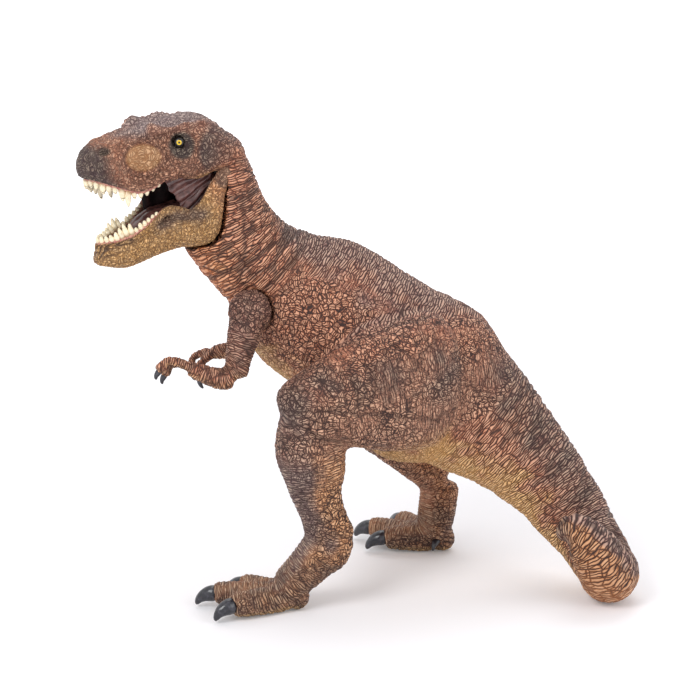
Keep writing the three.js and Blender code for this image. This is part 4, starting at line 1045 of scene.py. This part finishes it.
def speckled(name, roughness, coat, scale, detail, tones, limits, depth):
    """A finish of two paints mixed by noise, and the same noise as a small bump, its depth in millimetres."""
    made, tree, shader, place = finish_of(name, roughness, coat)
    speck = noise(tree, place, scale, detail)
    dark, pale = (paint(*tone) for tone in tones)
    tree.links.new(blended(tree, dark, pale, mapped(tree, speck, *limits)), shader.inputs["Base Color"])
    bump(tree, shader, speck, depth * MM)
    return made


# %% Skin
# Creases darken towards a colour that is the toy's dark wash together with painted shade; raised skin
# lightens towards a painted highlight.
CREASE_WASH_AND_SHADE, RAISED_HIGHLIGHT = paint(46, 23, 17), (0.38, 0.27, 0.18)


def skin_finish(name, pitch, rib, depth, highlight_lift):
    """Painted skin: the corners' colours, mottled, with a dark wash and painted shade in the creases, a
    painted highlight on the raised skin, and the finer nets.
    """
    made, tree, shader, place = finish_of(name, 0.55)
    spot = add(tree, "ShaderNodeVectorMath", operation="SCALE", inputs={0: place, "Scale": 1 / MM}).outputs[0]
    sides = add(tree, "ShaderNodeSeparateXYZ", inputs={0: spot}).outputs
    grain = value_of(tree, "Grain", "Vector")
    run = add(tree, "ShaderNodeSeparateXYZ", inputs={0: grain}).outputs[0]
    long = add(tree, "ShaderNodeVectorMath", operation="MULTIPLY",
               inputs={0: grain, 1: (1.0, 0.45, 0.45)}).outputs[0]
    upright = use(tree, wrinkle, Place=spot, Reach=sides[0], Pitch=pitch, Waver=4.5)
    level = use(tree, wrinkle, Place=spot, Reach=sides[2], Pitch=pitch, Waver=4.5)
    ribbed = use(tree, wrinkle, Place=long, Reach=run, Pitch=rib, Waver=2.6, Crossing=0.09)
    turn = mapped(tree, noise(tree, spot, 0.22, 1.0), 0.44, 0.56)
    across = mapped(tree, value_of(tree, "Across"), 0.3, 0.7)
    crease, height = (between(tree, between(tree, upright[key], level[key], turn), ribbed[key], across)
                      for key in ("Crease", "Height"))
    coat = use(tree, mottle, Coat=value_of(tree, "Coat", "Color"), Place=place, Amount=0.4)["Coat"]
    # Painted highlight: the raised skin is lightened by its height.
    highlighted = blended(tree, coat, RAISED_HIGHLIGHT, mapped(tree, height, 0.4, 1.0, 0.0, highlight_lift), "SCREEN")
    # The grooves darken towards the wash colour: the toy's wash and painted shade together.
    washed_and_shaded = blended(tree, highlighted, CREASE_WASH_AND_SHADE, mapped(tree, value_of(tree, "Groove"), 0.2, 0.95, 0.0, 0.7))
    # The fine creases darken as well: painted shade with the wash.
    lined = worked(tree, "MULTIPLY", crease, worked(tree, "MULTIPLY", value_of(tree, "Fine"), depth))
    tree.links.new(blended(tree, washed_and_shaded, CREASE_WASH_AND_SHADE, lined), shader.inputs["Base Color"])
    tree.links.new(mapped(tree, height, 0.0, 1.0, 0.75, 0.5), shader.inputs["Roughness"])
    bump(tree, shader, height, 0.35 * MM)
    return made


# The fourth number sets how dark the fine creases are painted, wash and painted shade together; the last sets
# the painted highlight on raised skin.
body_finish = skin_finish("Body skin", 0.85, 0.9, 1.0, 0.64)
head_finish = skin_finish("Head skin", 0.85, 0.9, 0.95, 0.42)
arm_finish = skin_finish("Arm skin", 0.75, 0.7, 0.95, 0.6)


def wear(piece, finish, body):
    """The piece takes a material, rides a body and takes its slot."""
    piece.data.materials.clear()
    piece.data.materials.append(finish)
    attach(piece, body)
    return piece


for name, part in body_parts.items():
    wear(part, head_finish if name == "head_skin" else body_finish, "figure")
wear(jaw_skin, head_finish, "jaw")
wear(arm_skins["left"], arm_finish, "left_arm_body")
wear(arm_skins["right"], arm_finish, "right_arm_body")
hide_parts("head")
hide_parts("torso")
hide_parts("tail")
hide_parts("left_leg")
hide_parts("right_leg")
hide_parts("lower_jaw")
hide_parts("left_arm")
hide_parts("right_arm")

# %% [markdown]
# ## Teeth and gums
# The real teeth are a separate row of casting, brushed ivory with tan roots. Each tooth here grows from a
# circle: its end face is extruded again and again, smaller each time and leaning out, which is how a
# modeller would pull it by hand. The gums grow in the same way along the edge of the jaw.


# %% The two rows
UPPER_LENGTHS = [4.4, 3.2, 3.4, 4.6, 3.6, 3.2, 5.0, 6.2, 3.2, 2.8, 2.4, 1.9, 1.5]
UPPER_RIGHT = [4.0, 4.6, 5.2, 5.8, 6.2, 7.6, 4.6, 6.2, 3.2, 2.8, 2.4, 2.0, 1.5]
LOWER_LENGTHS = [2.9, 3.0, 2.9, 3.1, 3.8, 4.9, 5.9, 5.1, 2.4, 3.1, 2.6, 2.3, 2.0, 1.6]
TOOTH_RINGS = [(0, 0.95), (0.25, 1.08), (0.52, 0.96), (0.76, 0.72), (0.9, 0.46), (1.0, 0.2)]
TOOTH_SIDES = 10
GUM_HALF, GUM_RINGS, GUM_SIDES = 0.95, 46, 12


def tooth_row(name, gum, left, right, broad, turn, up):
    """A gum and its teeth. The row runs round the front, and the lengths go from the front to the back."""
    line = horseshoe(gum, turn)
    count = 2 * len(left) - 1
    roots = rail(line, count + 2)
    axis = (head_point(0, 0, up, turn) - head_point(0, 0, 0, turn)).normalized()
    bm = bmesh.new()
    rise = bm.verts.layers.float.new("Rise")
    for k in range(1, count + 1):
        length = (left if k < len(left) else right)[abs(k - len(left))]
        root, past = Vector(roots[k]), Vector(roots[k + 1] - roots[k - 1]).normalized()
        outward = past.cross(axis) * (-up)
        lean = (0.10 if up < 0 else 0.06) * length
        sway = 0.05 * length * math.sin(2.4 * k)
        girth = min(broad, 0.75 + 0.08 * length)
        path = [root + axis * (share * length - 0.2) - 0.3 * outward + outward * lean * math.sin(2.2 * share)
                + Vector(AHEAD) * (sway - 0.08 * length) * share ** 2 for share, _ in TOOTH_RINGS]
        rings = grow(bm, path, [girth * wide for _, wide in TOOTH_RINGS], TOOTH_SIDES)
        for ring, (share, _) in zip(rings, TOOTH_RINGS):
            for vert in ring:
                vert[rise] = share
    bmesh.ops.recalc_face_normals(bm, faces=bm.faces)
    teeth = object_of(bm, name)
    round_off = teeth.modifiers.new("Round", "SUBSURF")
    round_off.levels = round_off.render_levels = 1
    bm = bmesh.new()
    order = np.arange(GUM_RINGS)
    ends = np.minimum(1, np.minimum(order, order[::-1]) / 4 + 0.25)
    grow(bm, rail(line, GUM_RINGS), GUM_HALF * ends, GUM_SIDES)
    bmesh.ops.recalc_face_normals(bm, faces=bm.faces)
    return teeth, object_of(bm, name.replace("teeth", "gum"))


upper_teeth, upper_gum = tooth_row("upper_teeth_row", UPPER_GUM, UPPER_LENGTHS, UPPER_RIGHT, 1.3, 0, -1)
lower_teeth, lower_gum = tooth_row("lower_teeth_row", LOWER_GUM, LOWER_LENGTHS, LOWER_LENGTHS, 1.05,
                                   JAW_GAPE, 1)

ivory, tree, shader, place = finish_of("Ivory", 0.32, 0.3)
streak = noise(tree, place, 900.0, 3.0)
rise = mapped(tree, value_of(tree, "Rise"), 0.02, 0.5)
tone = blended(tree, paint(172, 128, 84), paint(246, 232, 200), rise)
tone = blended(tree, tone, paint(206, 176, 130), mapped(tree, streak, 0.5, 0.75, 0.0, 0.5))
tree.links.new(tone, shader.inputs["Base Color"])
bump(tree, shader, streak, 0.05 * MM)

flesh = speckled("Mouth flesh", 0.38, 0.25, 420.0, 4.0, ((74, 44, 42), (116, 76, 70)), (0.35, 0.7), 0.25)
# The mouth lining is near black: painted shade on the inner wall of the right cheek.
lining_in_painted_shade = speckled("Mouth lining in painted shade", 0.5, 0.0, 300.0, 3.0, ((26, 14, 16), (64, 38, 38)), (0.4, 0.75), 0.3)
gums = speckled("Gum", 0.4, 0.2, 700.0, 3.0, ((168, 100, 88), (206, 150, 130)), (0.35, 0.7), 0.15)

wear(upper_teeth, ivory, "figure")
wear(lower_teeth, ivory, "jaw")
wear(upper_gum, gums, "figure")
wear(lower_gum, gums, "jaw")
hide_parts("upper_teeth")
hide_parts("lower_teeth")

# %% [markdown]
# ## Tongue and throat
# Both keep the form of their solids, so they are melted and softened like the skin. The tongue gets a
# groove down its middle, and the folded muscle at the corner of the mouth gets the ridges that fan out
# across it.


# %% Melt the tongue and the throat
def carve_tongue(piece):
    points, lies = corners_of(piece.data)
    jaw = in_jaw(points)
    x, y, _ = jaw.T
    arch = 1.6 * soft(x, 8, 16) * (1 - soft(x, 24, 32)) * soft(lies[:, 2], -0.6, 0.4)
    height = 0.15 * drift(jaw, 1.6, 191) - 0.5 * bell(y, 0.9) + 0.3 * soft(np.abs(y), 1, 3)
    rise = np.array(head_point(0, 0, 1, JAW_GAPE) - head_point(0, 0, 0, JAW_GAPE))
    move_corners(piece.data, points + lies * height[:, None] + arch[:, None] * rise)


def carve_throat(piece):
    points, lies = corners_of(piece.data)
    head = in_head(points)
    swing = np.arctan2(head[:, 2] - 4, head[:, 0] + 6)
    height = 0.45 * (np.cos(swing * 34 + 0.8 * drift(head, 3, 193)) - 1) * soft(head[:, 0], 1, 5)
    move_corners(piece.data, points + lies * height[:, None])


CHEEK_EDGE = [(17.4, 7.6, -3.0), (13, 7.8, -5.2), (8, 8.0, -7.0), (4, 8.0, -8.4)]
throat_solids = merged_copy("throat")
for hand in (1, -1):
    edge = [head_point(x, hand * y, z, JAW_GAPE) for x, y, z in CHEEK_EDGE]
    grow(throat_solids, rail(edge, 16), [3.2] * 16, 16, flat=0.22)
tongue_skin = melted(merged_copy("tongue"), "tongue_skin", LIMB_VOXEL, 0.45 * MM, 3)
throat_skin = melted(throat_solids, "throat_skin", LIMB_VOXEL, 0.4 * MM, 2)
carve_tongue(tongue_skin)
carve_throat(throat_skin)


# %% Lining of the right cheek, a thin sheet behind the lip, near black as painted shade
def lining(bm, hand):
    """A sheet from palate to tongue on one side: its top in the head's frame, its foot in the jaw's."""
    edges = [((24.5, 5.6, -0.6), (26, 5.4, -4.6)), ((9, 7.2, 0), (11, 7, -6))]
    (front_top, front_foot), (back_top, back_foot) = [
        (np.array(head_point(x, hand * y, z)), np.array(head_point(jx, hand * jy, jz, JAW_GAPE)))
        for (x, y, z), (jx, jy, jz) in edges]
    made = bmesh.ops.create_grid(bm, x_segments=12, y_segments=12, size=1)
    for vert in made["verts"]:
        u, v = (vert.co.x + 1) / 2, (vert.co.y + 1) / 2
        top = front_top + u * (back_top - front_top)
        under = front_foot + u * (back_foot - front_foot)
        wave = 0.35 * math.sin(9 * u + 2 * v) * ASIDE
        vert.co = Vector((top + v * (under - top) + wave) * MM)


bm = bmesh.new()
lining(bm, -1)
bmesh.ops.solidify(bm, geom=bm.faces[:], thickness=0.8 * MM)
bmesh.ops.recalc_face_normals(bm, faces=bm.faces)
mouth_lining = object_of(bm, "cheek_lining")
wear(tongue_skin, flesh, "jaw")
wear(throat_skin, flesh, "figure")
wear(mouth_lining, lining_in_painted_shade, "figure")
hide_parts("tongue")
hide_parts("throat")

# %% [markdown]
# ## Eyes
# Each eye is a glossy painted dome: a black pupil, a yellow ring, and a dark edge. A sphere that faces
# outward is enough for the form, and the rings come from the distance to its own axis, stored on the
# corners, so they stay sharp at any size.

# %% Make the eyes
EYE_GIRTH = 1.85
eye_paint, tree, shader, place = finish_of("Painted eye", 0.3, 0.3)
ring = value_of(tree, "Ring")
vein = noise(tree, place, 2500.0, 2.0)
yellow = blended(tree, paint(236, 204, 30), paint(206, 150, 20), mapped(tree, vein, 0.4, 0.7))
tone = blended(tree, paint(10, 8, 8), yellow, mapped(tree, ring, 0.19, 0.23))
tone = blended(tree, tone, paint(16, 12, 12), mapped(tree, ring, 0.45, 0.49))
tree.links.new(tone, shader.inputs["Base Color"])
bump(tree, shader, vein, 0.02 * MM, 0.4)

for name, hand in (("left_eye", 1), ("right_eye", -1)):
    middle = head_point(EYE_AT[0], hand * EYE_AT[1], EYE_AT[2]) * MM
    axis = Vector(hand * ASIDE + 0.35 * AHEAD + 0.05 * np.array(UP)).normalized()
    turn = axis.to_track_quat("Z", "Y").to_matrix().to_4x4()
    bm = bmesh.new()
    bmesh.ops.create_uvsphere(bm, u_segments=32, v_segments=24, radius=1,
                              matrix=Matrix.Translation(middle) @ turn @ Matrix.Scale(EYE_GIRTH * MM, 4))
    layer = bm.verts.layers.float.new("Ring")
    for vert in bm.verts:
        out = vert.co - middle
        vert[layer] = (out - out.dot(axis) * axis).length / (EYE_GIRTH * MM) if out.dot(axis) > 0 else 1
    bmesh.ops.recalc_face_normals(bm, faces=bm.faces)
    eye = wear(object_of(bm, name + "_dome"), eye_paint, "figure")
    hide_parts(name)

# %% [markdown]
# ## Claws
# The claws are near black with a soft gloss and a fine grain. Their solids already have the form, so copies
# are merged and smoothed by a Subdivision Surface, a little fuller than the solid so that the skin closes
# round the root.

# %% Dress the claws
horn = speckled("Claw horn", 0.28, 0.35, 650.0, 4.0, ((24, 24, 34), (66, 64, 74)), (0.45, 0.8), 0.1)
for node in sorted(frame["nodes"]):
    if not node.endswith("claw"):
        continue
    bm = merged_copy(node)
    swell(bm, 0.22 * MM)
    claw = object_of(bm, node + "_horn")
    rounder = claw.modifiers.new("Round", "SUBSURF")
    rounder.levels = rounder.render_levels = 2
    wear(claw, horn, frame["nodes"][node]["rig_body"])
    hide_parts(node)

# %% The pin keeps its solid and takes a steel finish
steel, tree, shader, place = finish_of("Steel pin", 0.35)
shader.inputs["Metallic"].default_value = 1.0
tone = blended(tree, paint(130, 130, 132), paint(180, 180, 182), noise(tree, place, 1500.0, 2.0))
tree.links.new(tone, shader.inputs["Base Color"])
frame["nodes"]["jaw_pin"].data.materials.clear()
frame["nodes"]["jaw_pin"].data.materials.append(steel)

# %% [markdown]
# ## Floor, light and camera
# A pale floor, a bright even sky and three soft lamps light the figure plainly, as in a photograph of goods
# for sale. The camera stands at the height and distance of the photograph.

# %% Rays that show the backdrop: from the camera, from a glossy face, or through glass
def seen(tree):
    path = add(tree, "ShaderNodeLightPath").outputs
    both = worked(tree, "MAXIMUM", path["Is Camera Ray"], path["Is Glossy Ray"])
    return worked(tree, "MAXIMUM", both, path["Is Transmission Ray"])


# %% Floor
FLOOR_HALF = 6.0
bm = bmesh.new()
bmesh.ops.create_grid(bm, x_segments=1, y_segments=1, size=FLOOR_HALF)
floor = object_of(bm, "floor")
pale, tree, shader, place = finish_of("Pale floor", 0.9)
shader.inputs["Base Color"].default_value = (0.87, 0.86, 0.89, 1)
shader.inputs["Emission Color"].default_value = (1, 1, 1, 1)
reach = add(tree, "ShaderNodeVectorMath", operation="LENGTH", inputs={0: place}).outputs["Value"]
glow = worked(tree, "MULTIPLY", seen(tree), mapped(tree, reach, 0.15, 0.7, 0.1, 0.6))
tree.links.new(glow, shader.inputs["Emission Strength"])
floor.data.materials.append(pale)

# %% Sky and lamps
world = bpy.data.worlds.new("Studio")
bpy.context.scene.world = world
world.use_nodes = True
tree = world.node_tree
sky = tree.nodes["Background"]
sky.inputs["Color"].default_value = (1, 1, 1, 1)
sky.inputs["Strength"].default_value = 0.67
shown = add(tree, "ShaderNodeBackground", inputs={"Color": (1, 1, 1, 1), "Strength": 1.0})
both = add(tree, "ShaderNodeMixShader", inputs={0: seen(tree), 1: sky.outputs[0], 2: shown.outputs[0]})
tree.links.new(both.outputs[0], tree.nodes["World Output"].inputs["Surface"])

LAMPS = [("Key", (-0.55, -0.75, 0.85), 0.5, 6.5), ("Fill", (0.75, -0.6, 0.5), 0.7, 3),
         ("Top", (0.1, 0.5, 1.1), 0.8, 4)]
TARGET = Vector((-0.004656, -0.002844, 0.0858))
for name, at, size, power in LAMPS:
    lamp = bpy.data.lights.new(name, "AREA")
    lamp.size, lamp.energy = size, power
    holder = bpy.data.objects.new(name, lamp)
    holder.location = at
    holder.rotation_euler = (TARGET - Vector(at)).to_track_quat("-Z", "Y").to_euler()
    bpy.context.scene.collection.objects.link(holder)

# %% Camera
CAMERA_AT, LENS, SENSOR = (-0.004656, -0.872177, 0.318737), 129.6, 36
camera = bpy.data.objects.new("Camera", bpy.data.cameras.new("Camera"))
camera.data.sensor_width, camera.data.lens = SENSOR, LENS
camera.data.clip_start, camera.data.clip_end = 0.01, 50
camera.location = CAMERA_AT
camera.rotation_euler = (TARGET - camera.location).to_track_quat("-Z", "Y").to_euler()
bpy.context.scene.collection.objects.link(camera)
bpy.context.scene.camera = camera
bpy.context.scene.view_settings.view_transform = "Standard"
